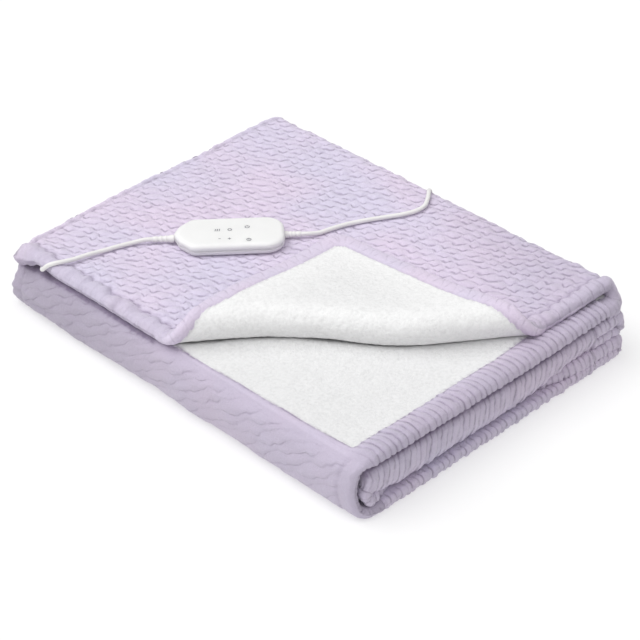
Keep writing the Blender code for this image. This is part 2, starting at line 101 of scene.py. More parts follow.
FRONT_LIFT = 4.0

CREASE_POINT = (-56.0, -134.0)
CREASE_ANGLE = math.radians(46.5)
CREASE_WAY = (math.cos(CREASE_ANGLE), math.sin(CREASE_ANGLE))  # from the corner into the stack
CREASE_RADIUS = 14.0
FLAP_GIVE = 1.06  # how much the turned corner stretches
FLAP_REST_GAP = 1.5
FLAP_SETTLES = 165.0
FLAP_SPREAD, FLAP_EDGE = 9.0, 321.0  # how far the turned corner's right edge bows out, its length
CREASE_SWAYS = [
    # along the fold, reach, how far it swells out
    (-100.0, 80.0, -12.0),
    (45.0, 60.0, 9.0),
    (185.0, 60.0, -9.0),
]
SWAY_FROM, SWAY_TO = (-80.0, 0.0), (50.0, 150.0)  # past the crease, where that starts and ends

SEAM_TOP_X = 188.0  # where the top shell ends under itself
SEAM_BASE_X = -188.0  # where the wrap's shell ends under the stack
SEAM_TURN_X = 165.0  # where the lower folds' shells end inside the stack
ROUND = 7.0  # rounding of each ply at its ends
RIM_TILTS = [math.radians(angle) for angle in (84.0, 66.0, 48.0, 31.0, 15.0)]
HIGH_TURN_BACK = 4.5  # how far the upper turned fold lies behind the lower one
CURL_RADIUS = 7.6  # bend of the third ply down over the lower ones, at both ends
CURL_STEPS = 10
INNER_STEP = 5.0  # step of the turned fold that is inside the stack
CURL_DROP = 7.2  # how much taller than round that bend is in the middle
CURL_DROP_FROM, CURL_DROP_TO = (-225.0, -150.0), (40.0, 150.0)
BEHIND_CURL = 17.0  # how far the lower plies' ends are tucked behind it there
LENGTH = 600.0  # nominal length along Y, for the number of rows
COARSE_STEP = 24.0  # from row to row where the cloth is hidden
WIDE_STEP = 1.15  # step of the hidden plies, as a share of the plush's
LINING_X = -206.0  # the lining's border on the second ply, at the wrap
LINING_INSET = 33.0  # and from that ply's end

# ---- Cords and hand control, as in the solids ---------------------------------------------------
SEAT = 0.3
STRAIGHT = 8.0
ROUTE_STEP, CURVE_STEPS = 5.0, 24
LEAD_ROUTE = [
    (-207.0, 256.0, 72.8),
    (-208.5, 246.0, 73.0),
    (-213.5, 236.5, 73.6),
    (-220.6, 228.5, 76.4),
    (-225.0, 220.0, 82.8),
    (-222.8, 212.5, 90.4),
    (-214.5, 206.0, 93.1),
    (-198.0, 200.0, 92.2),
    (-177.0, 195.0, 92.2),
    (-157.0, 190.0, 91.2),
    (-138.0, 184.0, 91.5),
    (-122.0, 177.0, 92.4),
]
MAINS_ROUTE = [
    (50.0, 36.0, 92.4),
    (66.0, 32.0, 92.5),
    (85.0, 26.0, 92.9),
    (102.0, 18.0, 93.4),
    (118.0, 8.5, 94.2),
    (134.0, -2.0, 95.2),
    (148.0, -11.0, 96.2),
    (162.0, -17.0, 97.0),
    (177.0, -17.5, 97.6),
    (190.0, -10.5, 97.8),
    (200.5, -3.0, 97.3),
    (209.3, 4.5, 95.6),
    (217.2, 10.3, 90.4),
    (223.6, 14.2, 81.6),
    (227.3, 16.6, 68.5),
    (228.5, 17.5, 54.0),
    (228.3, 14.5, 40.0),
    (227.9, 8.0, 28.0),
    (227.6, 0.0, 20.0),
    (227.5, -9.8, 15.0),
]
LEAD_ON_TOP, MAINS_ON_TOP = 7, 12  # the lead lies on the top from this point, the mains cord up to it
PLUG_ROUTE = [(227.8, -51.3, 3.2), (230.2, -62.0, 3.8), (236.8, -74.0, 5.6)]
COIL_CENTRE = (261.2, -30.0)
COIL_RADIUS, COIL_PITCH, COIL_FLOOR = 28.0, 5.7, 2.85
COIL_CELLS = [
    # across, up: where each turn lies in the coil's section, in the order they are wound
    (2, 2),
    (1, 2),
    (0, 2),
    (0, 1),
    (0, 0),
    (1, 0),
    (1, 1),
    (2, 1),
    (2, 0),
]
COIL_FROM, COIL_TURNS, COIL_STEP = 180.0, 8.0, 12.0
CELL_FIRST, CELL_EVERY, CELL_CHANGE = 383.0, 336.0, 24.0  # degrees at which a turn changes its cell
TIE_ANGLE, TIE_WIDTH, TIE_STEPS = -35.0, 6.0, 28
HEM_RELIEF_LENGTH = 24.0
CONTROL_CENTRE = (-34.0, 103.0)
CONTROL_ANGLE = -41.0
CONTROL_SEAT_Z = 89.4
CONTROL_BASE_HEIGHT, CONTROL_HEIGHT, CONTROL_EXIT_Z = 8.0, 15.6, 5.2
CONTROL_CORNERS = [
    # along, across, radius
    (43.0, 5.5, 22.5),
    (43.0, -13.0, 22.5),
    (-40.0, 15.0, 13.0),
    (-40.0, -22.5, 13.0),
    (-47.0, 4.0, 16.0),
    (-47.0, -10.5, 16.0),
    (-56.5, -2.0, 9.8),
]
CONTROL_LEFT_X, CONTROL_RIGHT_X = -66.0, 65.0
CONTROL_REST_FROM, CONTROL_REST_TO = -45.0, 43.0  # the stretch of even width, for the press marks
CONTROL_REST_HALF, CONTROL_REST_ACROSS = 30.0, -3.5
LEFT_RELIEF_LENGTH, RIGHT_RELIEF_LENGTH = 26.0, 20.0
RING_WIDTH, BAR_WIDTH, PRINT_HEIGHT = 0.95, 0.85, 0.12  # of the printed signs
PLUG_POINT = (241.4, -119.0)
PLUG_LENGTH, PLUG_WIDTH, PLUG_HEIGHT, PLUG_NECK_WIDTH = 36.0, 35.0, 13.8, 15.0
PLUG_FLOOR, PLUG_STEPS = 0.15, 32
PLUG_RELIEF_LENGTH = 22.0
PIN_SPACING, PIN_LENGTH, PIN_DIAMETER, PIN_SLEEVE_LENGTH = 18.6, 19.0, 4.0, 10.0
PIN_TIP = 1.6

# ---- The camera ---------------------------------------------------------------------------------
EYE = (-1.42558, -1.44987, 1.43876)  # metres
EYE_TILT, EYE_TURN = 54.9, -44.9
SENSOR, LENS = 36.0, 116.83


# ---- Settings -----------------------------------------------------------------------------------
def millimetres(name, description, default):
    return FloatProperty(name=name, description=description, default=default, min=0.0)


def colour(name, description, default):
    return FloatVectorProperty(
        name=name, description=description, default=default, subtype="COLOR", min=0.0, max=1.0
    )


class ThrowPlushSettings(bpy.types.PropertyGroup):
    row_pitch: millimetres("Row pitch", "From one row of puffs to the next, in mm", 10.4)
    puff_length: millimetres("Puff length", "Length of one puff along its row, in mm", 20.0)
    puff_height: millimetres("Puff height", "Height of a puff above its crevice, in mm", 3.4)
    row_angle: FloatProperty(
        name="Row angle",
        description="Angle of the rows from the long side",
        default=math.radians(26.0),
        subtype="ANGLE",
    )
    hem_width: millimetres("Hem width", "Width of the plain hem on the outside, in mm", 13.0)
    lining_hem: millimetres("Lining hem", "Width of the plain hem on the lining, in mm", 22.0)
    step: millimetres("Mesh step", "Distance between points of the plush, in mm", 2.6)


class ThrowColourSettings(bpy.types.PropertyGroup):
    plush: colour("Plush", "Colour of the puffs' tops", (0.74, 0.665, 0.815))
    # Painted shade: a darker copy of the plush colour, mixed in on the sides, ends and rolls.
    shaded_plush: colour("Plush side", "Colour where the pile lies away", (0.455, 0.405, 0.512))
    # Painted shade: the dark colour mixed into the crevices between puffs and into the grooves.
    plush_crevice_shade: colour("Plush depth", "Colour between the puffs", (0.26, 0.21, 0.31))
    lining: colour("Lining", "Colour of the curly lining", (0.89, 0.89, 0.89))
    plastic: colour("Plastic", "Colour of the hand control and plug", (0.88, 0.88, 0.875))
    sheath: colour("Sheath", "Colour of the cords", (0.86, 0.85, 0.84))
    print_grey: colour("Print", "Colour of the printed signs", (0.24, 0.24, 0.27))


class ThrowSettings(bpy.types.PropertyGroup):
    plush: PointerProperty(type=ThrowPlushSettings)
    colours: PointerProperty(type=ThrowColourSettings)
    cord: FloatProperty(
        name="Cord", description="Cord diameter, in mm", default=5.5, min=3.0, max=9.0
    )
    key_light: FloatProperty(
        name="Key light", description="Strength of the key light", default=1.45, min=0.0
    )


def settings():
    return bpy.context.scene.throw


# ---- Helpers ------------------------------------------------------------------------------------
def point(x, y, z):
    """A point of the frame, in metres, from the fold's own millimetres."""
    return (Vector((x, y, z)) + MOVED) * MM


def clamp(value, low=0.0, high=1.0):
    return min(max(value, low), high)


def smooth_share(value, low, high):
    """0 below low, 1 above high, and a smooth climb between them."""
    share = clamp((value - low) / (high - low))
    return share * share * (3.0 - 2.0 * share)


def blend(low, high, share):
    return low * (1.0 - share) + high * share


def ridge(offset, width):
    """1 on a line, and falling off to both sides of it."""
    return math.exp(-((offset / width) ** 2))


def closeness(at, x, y, reach):
    """1 at a place seen from above, and falling off round it."""
    return math.exp(-((at.x - x) ** 2 + (at.y - y) ** 2) / reach**2)


def wander(u, v, fineness, seed):
    """Smooth noise over the cloth, about -1 to 1."""
    return noise.noise(Vector((u * fineness, v * fineness, seed)))


def squarish(angle, width, height, power_x, power_y):
    """A place on a rounded rectangle's outline."""
    across, up = math.cos(angle), math.sin(angle)
    x = math.copysign(abs(across) ** power_x, across) * width
    return x, math.copysign(abs(up) ** power_y, up) * height


def points_in(grown):
    return [part for part in grown if isinstance(part, bmesh.types.BMVert)]


def add_piece(made, slot_name, *replaced):
    """Puts an object in the scene as a piece that rides on the one body."""
    bpy.context.scene.collection.objects.link(made)
    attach(made, "root")
    if replaced:
        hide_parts(*replaced)
    return made


def add_mesh(name, bm, finish, slot_name, *replaced, smooth_angle=40.0):
    """Turns a bmesh into a piece."""
    bmesh.ops.recalc_face_normals(bm, faces=bm.faces)
    mesh = bpy.data.meshes.new(name)
    bm.to_mesh(mesh)
    bm.free()
    mesh.shade_smooth()
    if smooth_angle:
        mesh.set_sharp_from_angle(angle=math.radians(smooth_angle))
    mesh.materials.append(finish)
    return add_piece(bpy.data.objects.new(name, mesh), slot_name, *replaced)


# ---- The fold's path ----------------------------------------------------------------------------
class Station:
    """A place on the centre line of the folded cloth, in the plane across Y."""

    def __init__(self, x, z, heading, half, ends, u):
        self.x, self.z = x, z
        self.normal = Vector((-math.sin(heading), 0.0, math.cos(heading)))
        self.half = half
        self.front, self.back = ends
        self.u = u  # length along the cloth, for its pattern
        self.rim, self.out = 0.0, 0.0  # rounding at a free hem, and the way out of the cloth


def top_level(x):
    return LEVELS["top"][0] + TOP_RISE * smooth_share(x, TOP_RISE_FROM, TOP_RISE_TO)


def run(ply, x_from, x_to, step, half=HALF, level=None):
    """A straight stretch of one ply, both ends included."""
    height, front, back = LEVELS[ply]
    heading = 0.0 if x_to > x_from else math.pi
    count = max(1, round(abs(x_to - x_from) / step))
    made = []
    for i in range(count + 1):
        x = x_from + (x_to - x_from) * i / count
        made.append(Station(x, level(x) if level else height, heading, half, (front, back), x))
    return made


def ends_between(ply_a, ply_b, z):
    """The two ends along Y at a height between two plies."""
    height_a, front_a, back_a = LEVELS[ply_a]
    height_b, front_b, back_b = LEVELS[ply_b]
    share = clamp((z - height_a) / (height_b - height_a))
    return front_a + (front_b - front_a) * share, back_a + (back_b - back_a) * share


def turn(plies, centre, radius, start, sweep, step, u_from, u_way, first_half=HALF):
    """A round bend between two plies, both ends included."""
    count = max(4, round((radius + first_half) * math.radians(abs(sweep)) / step))
    made = []
    for i in range(count + 1):
        share = i / count
        angle = math.radians(start + sweep * share)
        heading = angle + math.copysign(math.pi / 2.0, sweep)
        x = centre[0] + radius * math.cos(angle)
        z = centre[1] + radius * math.sin(angle)
        half = first_half + (HALF - first_half) * share
        arc = (radius + half) * math.radians(abs(sweep)) * share
        made.append(Station(x, z, heading, half, ends_between(*plies, z), u_from + u_way * arc))
    return made


def joined(*stretches):
    """Stretches end to end, without the doubled places between them."""
    made = []
    for stretch in stretches:
        made += stretch[1:] if made else stretch
    return made


def free_hem(stations, at_start):
    """Rounds the cloth's free hem with a few places of growing thickness."""
    edge = stations[0] if at_start else stations[-1]
    other = stations[1] if at_start else stations[-2]
    inward = math.copysign(1.0, other.x - edge.x)
    made = []
    for rim in RIM_TILTS:
        x = edge.x + inward * ROUND * (1.0 - math.sin(rim))
        place = Station(x, edge.z, 0.0, edge.half, (edge.front, edge.back), x)
        place.normal, place.rim, place.out = edge.normal, rim, -inward
        made.append(place)
    rest = [s for s in stations if (s.x - edge.x) * inward > ROUND - 0.5]
    return made + rest if at_start else rest + made[::-1]


def top_line(step):
    """The top ply from its free hem, its turned fold and the start of the second ply."""
    height = LEVELS["second"][0]
    radius = (top_level(TOP_RISE_TO) - height) / 2.0
    x = TURN_X - radius - HALF
    half = TOP_PLY / 2.0
    top = free_hem(run("top", HEM_X, x, step, half, top_level), True)
    centre = (x, height + radius)
    bend = turn(("top", "second"), centre, radius, 90.0, -180.0, step, x, 1.0, half)
    return joined(top, bend, run("second", x, SEAM_TOP_X, step))


def wrap_line(step):
    """The second ply, the wrap down the stack's side and the start of the bottom ply."""
    plies = ("second", "bottom")
    face_x = WRAP_X + HALF + WRAP_BULGE
    x = face_x + WRAP_RADIUS
    high, low = LEVELS["second"][0] - WRAP_RADIUS, LEVELS["bottom"][0] + WRAP_RADIUS
    first = turn(plies, (x, high), WRAP_RADIUS, 90.0, 90.0, step, x, -1.0)
    face, count = [], round((high - low) / step)
    for i in range(count + 1):
        share = i / count
        z = high + (low - high) * share
        bulged = face_x - WRAP_BULGE * math.sin(math.pi * share)
        u = first[-1].u - (high - z)
        face.append(Station(bulged, z, -math.pi / 2.0, HALF, ends_between(*plies, z), u))
    last = turn(plies, (x, low), WRAP_RADIUS, 180.0, 90.0, step, face[-1].u, -1.0)
    second, base = run("second", SEAM_TOP_X, x, step), run("bottom", x, SEAM_BASE_X, step)
    return joined(second, first, face, last, base)


def turned_fold(low, high, x, step):
    """From one ply round its turned fold into the next one up."""
    height, wide = LEVELS[low][0], step * WIDE_STEP
    radius = (LEVELS[high][0] - height) / 2.0
    bend = turn((low, high), (x, height + radius), radius, -90.0, 180.0, step, x, 1.0)
    return joined(run(low, SEAM_TURN_X, x, wide), bend, run(high, x, SEAM_TURN_X, wide))


def fold_lines():
    """The centre line of the whole fold, as named stretches from the top ply to the tucked hem."""
    step = settings().plush.step
    wide = step * WIDE_STEP
    turn_x = TURN_X - TURN_RADIUS - HALF
    inner_x = INNER_TURN_X + TURN_RADIUS + HALF
    centre = (inner_x, LEVELS["fifth"][0] + TURN_RADIUS)
    plies = ("fifth", "fourth")
    made = {
        "top": top_line(step),
        "wrap": wrap_line(step),
        "base": run("bottom", SEAM_BASE_X, SEAM_TURN_X, wide),
        "low_turn": turned_fold("bottom", "fifth", turn_x, step),
        "fifth": run("fifth", SEAM_TURN_X, inner_x, wide),
        "inner_turn": turn(plies, centre, TURN_RADIUS, -90.0, -180.0, INNER_STEP, inner_x, -1.0),
        "fourth": run("fourth", inner_x, SEAM_TURN_X, wide),
        "high_turn": turned_fold("fourth", "third", turn_x - HIGH_TURN_BACK, step),
        "third": free_hem(run("third", SEAM_TURN_X, TUCKED_HEM_X, wide), False),
    }
    for station in made["fifth"] + made["inner_turn"]:
        tucked = BEHIND_CURL * curl_drop(station.x) / CURL_DROP
        station.front += tucked
        station.back -= tucked
    return made


class Row:
    """A place along Y: an end with its inset, or a share of the length between the ends."""

    def __init__(self, end, inset, share=0.0, rounding=0.0, curl=None):
        self.end, self.inset, self.share = end, inset, share
        self.rounding, self.curl = rounding, curl


def rows_along(step, reach=None, set_back=0.0, curled=False):
    """Rows from the front end to the back end. Past reach from either end they may be coarse."""
    start = set_back + ROUND
    ends = [(set_back + ROUND * (1.0 - math.sin(tilt)), tilt, None) for tilt in RIM_TILTS]
    if curled:
        start = 2.0 * CURL_RADIUS
        curls = [math.pi * (1.0 - i / CURL_STEPS) for i in range(CURL_STEPS + 1)]
        ends = [(start, 0.0, curl) for curl in curls]
    made = [Row(-1, inset, 0.0, tilt, curl) for inset, tilt, curl in ends]
    at = start
    while at < LENGTH - start - step / 2.0:
        made.append(Row(0, start, (at - start) / (LENGTH - 2.0 * start)))
        near = min(at, LENGTH - at)
        at += step if reach is None or near < reach else COARSE_STEP
    made.append(Row(0, start, 1.0))
    return made + [Row(1, inset, 0.0, tilt, curl) for inset, tilt, curl in reversed(ends)]


def curl_drop(x):
    """How much taller than round the third ply's bend is at a place along the stack."""
    return CURL_DROP * smooth_share(x, *CURL_DROP_FROM) * (1.0 - smooth_share(x, *CURL_DROP_TO))


def corner_inset(x, end):
    """How far one end draws in near the stack's corners, seen from above."""
    middle, reach = (WRAP_X + TURN_X) / 2.0, (TURN_X - WRAP_X) / 2.0
    radius = CORNER_RADII["wrap" if x < middle else "turn", end]
    past = clamp(abs(x - middle) - (reach - radius), 0.0, radius)
    return CORNER_SHARE * (radius - math.sqrt(radius**2 - past**2))


class Spot:
    """A point on one face of the cloth before it is covered, with all that its cover needs."""

    def __init__(self, station, row, side):
        self.side, self.rounding, self.level = side, row.rounding, station.z
        self.front = station.front + corner_inset(station.x, "front")
        self.back = station.back - corner_inset(station.x, "back")
        across, along = math.cos(row.rounding), math.cos(station.rim)
        self.u = station.u + station.out * (station.rim * ROUND - ROUND * math.sin(station.rim))
        inward = -row.end
        if row.end:
            end = self.front if row.end < 0 else self.back
            self.y = end + inward * row.inset
            self.v = self.y - inward * ROUND * (row.rounding - math.sin(row.rounding))
        else:
            low, high = self.front + row.inset, self.back - row.inset
            self.y = self.v = low + (high - low) * row.share
        offset = station.half * across * along * side
        self.at = Vector((station.x, self.y, station.z)) + station.normal * offset
        outward = station.normal * (side * across * along)
        outward += Vector((station.out * math.sin(station.rim), 0.0, 0.0))
        outward += Vector((0.0, -inward, 0.0)) * math.sin(row.rounding)
        self.outward = outward.normalized()
        if row.curl is not None:
            self.bend_over(row.curl, station, inward, end)
        self.from_front, self.from_back = self.v - self.front, self.back - self.v
        self.near = min(self.from_front, self.from_back)
        self.rolled = row.rounding > 0.0 or row.curl is not None

    def bend_over(self, angle, station, inward, end):
        """Carries an end of the third ply down over the fourth."""
        up = self.side * station.normal.z * station.half * math.cos(station.rim)
        hub = end + inward * (CURL_RADIUS + station.half)
        drop = CURL_RADIUS + curl_drop(station.x)
        self.at.y = hub - inward * (CURL_RADIUS + up) * math.sin(angle)
        self.at.z = station.z - drop + (drop + up) * math.cos(angle)
        self.v = hub - inward * (CURL_RADIUS + station.half) * angle
        turned = Vector((0.0, -inward * math.sin(angle), math.cos(angle)))
        self.outward = turned if up > 0.0 else -turned

    def in_gap(self, low, high):
        """How deep a place is between two end rolls, from 0 at their outside to 1."""
        return smooth_share(min(self.y - self.front, self.back - self.y), low, high)


# ---- The plush ----------------------------------------------------------------------------------
WAVE = 0.23  # how far the rows' borders swing, as a share of the pitch
SKEW = -0.5  # how far each swing leans to one side along the row
PATTERN_START = 100.0  # keeps the counts of puffs and rows above 0
GATHER_LENGTH, GATHER_PITCH, GATHER_HEIGHT = 46.0, 10.0, 1.7


def border(along, row):
    """How far the border below a row lies off its line. Every other border is half a puff on."""
    turn_by = FULL_TURN * (along + 0.5 * (row % 2))
    return -WAVE * math.cos(turn_by + SKEW * math.cos(turn_by))


def puff(along, across):
    """Height of the puffs, from 0 in a crevice to 1. Each is steeper on its lower side."""
    row = math.floor(across)
    if across - row < border(along, row):
        row -= 1
    elif across - row > 1.0 + border(along, row + 1):
        row += 1
    low, high = row + border(along, row), row + 1.0 + border(along, row + 1)
    inside = clamp((across - low) / (high - low))
    crest = max(math.sin(math.pi * inside**0.72), 0.0) ** 0.62
    fullness = 0.5 + 0.5 * (high - low - 1.0) / (2.0 * WAVE)
    return crest * (0.45 + 0.55 * max(fullness, 0.0) ** 0.6)


class Pattern:
    """Rows of puffs of one size, and where a place of the cloth lies in them."""

    def __init__(self, angle, length, pitch):
        self.way = (math.sin(angle) / length, math.cos(angle) / length)
        self.over = (math.cos(angle) / pitch, math.sin(angle) / pitch)
        self.phase, self.sway = PATTERN_START, 0.35

    def place(self, u, v):
        """Place along a row, counted in puffs, and across the rows, counted in rows."""
        broad, sway = wander(u, v, 0.011, 3.0), wander(u, v, 0.04, 9.0)
        jitter = wander(u, v, 0.09, 31.0)
        along = u * self.way[0] - v * self.way[1] + self.phase
        along += (1.7 * broad + sway + 0.45 * jitter) * self.sway
        across = u * self.over[0] + v * self.over[1] + PATTERN_START
        across += 0.24 * sway + 0.16 * jitter - 0.5 * broad
        return along, across


class RibPattern(Pattern):
    """Even ribs that run across the cloth's end, with hardly any puffs along them."""

    def __init__(self, angle, pitch):
        super().__init__(angle, 1000.0, pitch)
        self.way = (0.0, 0.0)
        self.phase, self.sway = PATTERN_START + 0.25, 0.10


def embossed(place):
    """Height of the puffs or ribs about their middle, each a little uneven."""
    return puff(*place) * (0.95 + 0.6 * wander(*place, 1.1, 20.0)) - 0.5


def lumps(u, v, depth=1.0):
    """Broad soft unevenness of the cloth."""
    return depth * 1.6 * wander(u, v, 0.019, 14.0)


def pile(u, v):
    """Height of the curly lining, about -1 to 1."""
    return 0.7 * wander(u, v, 0.16, 1.0) + 0.45 * wander(u, v, 0.36, 7.0)


class Cover:
    """What the cloth's surface does at a spot: its height, its pattern place and its finish."""

    def __init__(self, height, place, puffs, lining=0.0, groove=0.0):
        self.height, self.place, self.puffs = height, place, puffs
        self.lining, self.groove = lining, groove
        self.painted_shade = 0.0  # how much painted shade darkens the colour here


def hem_reach(along, across, corner):
    """Distance from two edges that meet at a corner, rounded there."""
    if along < corner and across < corner:
        return corner - math.hypot(corner - along, corner - across)
    return min(along, across)


def pressed_by():
    """Finds how near a place of the top ply is to the cords that press it flat."""
    lines = smooth_route(LEAD_ROUTE[LEAD_ON_TOP:] + control_ends("left"), 3.0)
    lines += smooth_route(control_ends("right") + MAINS_ROUTE[:MAINS_ON_TOP], 3.0)
    tree = kdtree.KDTree(len(lines))
    for i, at in enumerate(lines):
        tree.insert((at.x, at.y, 0.0), i)
    tree.balance()
    return tree


def beside_control(x, y):
    """Distance from the hand control's outline, seen from above. Inside it, it is below 0."""
    angle = math.radians(CONTROL_ANGLE)
    dx, dy = x - CONTROL_CENTRE[0], y - CONTROL_CENTRE[1]
    along = dx * math.cos(angle) + dy * math.sin(angle)
    across = -dx * math.sin(angle) + dy * math.cos(angle) - CONTROL_REST_ACROSS
    half = CONTROL_REST_HALF - 0.6 * max(CONTROL_REST_FROM - along, 0.0)
    if abs(along) <= CONTROL_REST_TO:
        return abs(across) - half
    return math.hypot(along - clamp(along, CONTROL_REST_FROM, CONTROL_REST_TO), across) - half


def past_crease(x, y):
    """How far a place, seen from above, is beyond the line where the corner turns back."""
    return (CREASE_POINT[0] - x) * CREASE_WAY[0] + (CREASE_POINT[1] - y) * CREASE_WAY[1]


def crease_sway(x, y):
    """How far the turned corner's fold swells out from its line, in a soft S."""
    along = (x - CREASE_POINT[0]) * CREASE_WAY[1] - (y - CREASE_POINT[1]) * CREASE_WAY[0]
    return sum(sway * ridge(along - at, reach) for at, reach, sway in CREASE_SWAYS)


def under_flap(x, y):
    """How much a place of the top ply is in the turned corner or under it, from 0 to 1."""
    past = past_crease(x, y)
    if past > 0.0:
        return smooth_share(past, 30.0, 50.0)
    back = 3.0 * CREASE_RADIUS - 2.0 * past
    from_hem = x - back * CREASE_WAY[0] - HEM_X
    from_front = y - back * CREASE_WAY[1] - LEVELS["top"][1]
    return smooth_share(min(from_hem, from_front), 0.0, 9.0)


class Plush:
    """The throw's two surfaces: embossed plush, and curly lining with a plain plush hem."""

    def __init__(self):
        plush = settings().plush
        self.height, self.hem, self.lining_hem = plush.puff_height, plush.hem_width, plush.lining_hem
        angle, length, pitch = plush.row_angle, plush.puff_length, plush.row_pitch
        self.weave = Pattern(angle, length, pitch)
        self.streaks = Pattern(angle * 1.05, length * 4.2, pitch * 1.15)
        self.ribs = RibPattern(0.10, pitch * 0.86)
        self.fine_ribs = RibPattern(-0.08, pitch * 0.82)
        self.pressed = pressed_by()

    def puffs(self, pattern, spot, share, depth=1.0):
        """The puffs of a pattern, as a share of their full height times a depth."""
        place = pattern.place(spot.u, spot.v)
        return Cover(share * depth * self.height * embossed(place), place, share)

    def hem_ribs(self, around, edge):
        """Pattern place of the gathers across a plain hem, and their height."""
        sway = noise.noise(Vector((around * 0.05, edge * 0.02, 4.0)))
        across = around / GATHER_PITCH + 0.5 * sway + PATTERN_START
        place = (edge / GATHER_LENGTH + PATTERN_START, across)
        return place, GATHER_HEIGHT * embossed(place)

    def top(self, spot):
        """The top ply's two faces, with its free hems."""
        if spot.side < 0:
            return self.top_lining(spot)
        past = (spot.u - HEM_X) / (self.hem * 1.5)
        end = min(spot.from_front / (self.hem * 1.45), spot.from_back / (self.hem * 0.6))
        at_side = past < end
        around = spot.v if at_side else spot.u
        inside = hem_reach(past, end, 1.7) + (
            0.09 * math.cos(FULL_TURN * around / 17.0)
            + 0.22 * noise.noise(Vector((around * 0.04, 8.0, 0.0)))
        )
        if inside < 1.0:
            made = self.top_hem(spot, around, inside, at_side)
        else:
            made = self.puffs(self.weave, spot, smooth_share(inside, 1.08, 1.4))
        # The groove line inside the hem is sunk, and the finish paints shade into it.
        made.groove = ridge(inside - 1.03, 0.13)
        made.height += lumps(spot.u, spot.v) - 1.9 * made.groove + self.corner_puff(spot)
        # Painted shade: darker on the rounded ends, along the front hem and on the side hem; the top also
        # darkens broadly towards the front right.
        made.painted_shade = max(
            0.9 * smooth_share(spot.rounding, 0.6, 1.4),
            0.45 * (1.0 - smooth_share(spot.from_front, 6.0, 24.0)),
            0.3 * (1.0 - smooth_share(inside, 0.8, 1.1)) * at_side,
            0.42 * smooth_share(spot.at.x - 0.6 * spot.at.y, 140.0, 320.0),
        )
        gap = min(self.pressed.find((spot.at.x, spot.at.y, 0.0))[2] - 2.0, 50.0)
        gap = min(gap, beside_control(spot.at.x, spot.at.y))
        press = max(1.0 - smooth_share(gap, 0.0, 6.0), under_flap(spot.at.x, spot.at.y))
        made.height = blend(made.height, min(made.height, -0.2), press)
        return made

    def top_hem(self, spot, around, inside, at_side):
        """The plain hem round the top ply, a low roll with soft gathers."""
        place, gathers = self.hem_ribs(around, inside * self.hem)
        share = (0.2 if at_side else 0.5) * (1.0 - smooth_share(inside, 0.65, 0.95))
        bulge = max(math.sin(math.pi * clamp(inside)), 0.0) ** 0.6
        rise = 2.0 if at_side or spot.from_back < spot.from_front else 3.4
        made = Cover(rise * bulge + gathers * share, place, share)
        rough = 3.8 if at_side else 1.4
        made.height += rough * noise.noise(Vector((around * 0.07, inside * 0.6, 40.0)))
        made.height += 0.5 * rough * noise.noise(Vector((around * 0.23, inside * 0.6, 50.0)))
        return made

    def corner_puff(self, spot):
        """The thick hem of the corner over the cord's exit."""
        rim = 1.0 - smooth_share(spot.u - HEM_X, 6.0, 18.0)
        rise = 4.2 + 2.4 * smooth_share(spot.v, 254.0, 272.0)
        return rise * rim * smooth_share(spot.v, 240.0, 252.0)

    def top_lining(self, spot):
        """The top ply's lining, which the turned corner shows, and its hem."""
        past = spot.u - HEM_X
        edge = hem_reach(past, spot.near, 34.0)
        around = spot.v if past < spot.from_front else spot.u
        ripple = 1.6 * wander(spot.u, spot.v, 0.06, 2.0)
        ripple += 0.5 * math.cos(FULL_TURN * around / 10.0)
        width = self.lining_hem
        if past > spot.from_front:
            narrower = 13.0 * smooth_share(spot.u, -20.0, 90.0)
            width -= narrower * (1.0 - smooth_share(spot.u, 110.0, 150.0))
        else:
            narrower = 10.0 * smooth_share(spot.v, -90.0, -20.0)
            width -= narrower * (1.0 - smooth_share(spot.v, 80.0, 120.0))
        white = smooth_share(edge + ripple, width - 1.0, width + 1.5)
        place, gathers = self.hem_ribs(around, edge)
        share = 0.4 * (1.0 - smooth_share(edge, width - 7.0, width - 2.0))
        band = 0.4 + 2.0 * math.sin(math.pi * clamp(edge / width)) ** 0.6 + gathers * share
        band += 1.6 * self.corner_puff(spot)
        soft = 0.7 * pile(spot.u, spot.v) + 0.2 + lumps(spot.u, spot.v, 0.9)
        # Painted shade in the groove at the lining's border and under the hem's edge.
        groove = 0.55 * ridge(edge + ripple - width, 1.6)
        groove = max(groove, 0.8 * (1.0 - smooth_share(edge, 4.0, 12.0)) * (spot.v > 25.0))
        made = Cover(blend(band, soft, white), place, share, white, groove)
        beyond = past_crease(spot.at.x, spot.at.y)
        # Painted shade: the white darkens away from the turned corner's tip, which leaves the tip painted
        # lighter; the plain hem darkens near the far turn.
        made.painted_shade = 0.5 * white * smooth_share(edge, 20.0, 90.0) * smooth_share(beyond, 30.0, 60.0)
        made.painted_shade += 0.8 * (1.0 - white) * smooth_share(spot.u, 140.0, 180.0)
        return made

    def wrap(self, spot):
        """The second ply and the wrap: lining on top, ribbed end rolls, and a streaked face."""
        if spot.side > 0:
            return self.wrap_inside(spot)
        if spot.level < LOWEST and spot.u > -210.0:
            return self.rim(spot)
        sway = noise.noise(Vector((spot.u * 0.012, 4.0, 0.0)))
        nicks = 1.3 * wander(spot.u, spot.v, 0.2, 6.0)
        inside = self.inside_border(spot, sway, nicks)
        white = smooth_share(inside, -1.0, 1.5)
        line = ridge(inside, 1.7)
        if spot.u > LINING_X - 9.0:
            made = self.end_roll(spot, line)
        else:
            made = self.wrap_face(spot, sway)
        beyond = past_crease(spot.at.x, spot.at.y) - crease_sway(spot.at.x, spot.at.y)
        soft = 0.8 * pile(spot.u, spot.v) - 0.8 + lumps(spot.u, spot.v, 0.6)
        soft += 4.5 * ridge(beyond - 15.0, 10.0)
        made.height = blend(made.height, soft, white) - 0.6 * line
        made.lining = white
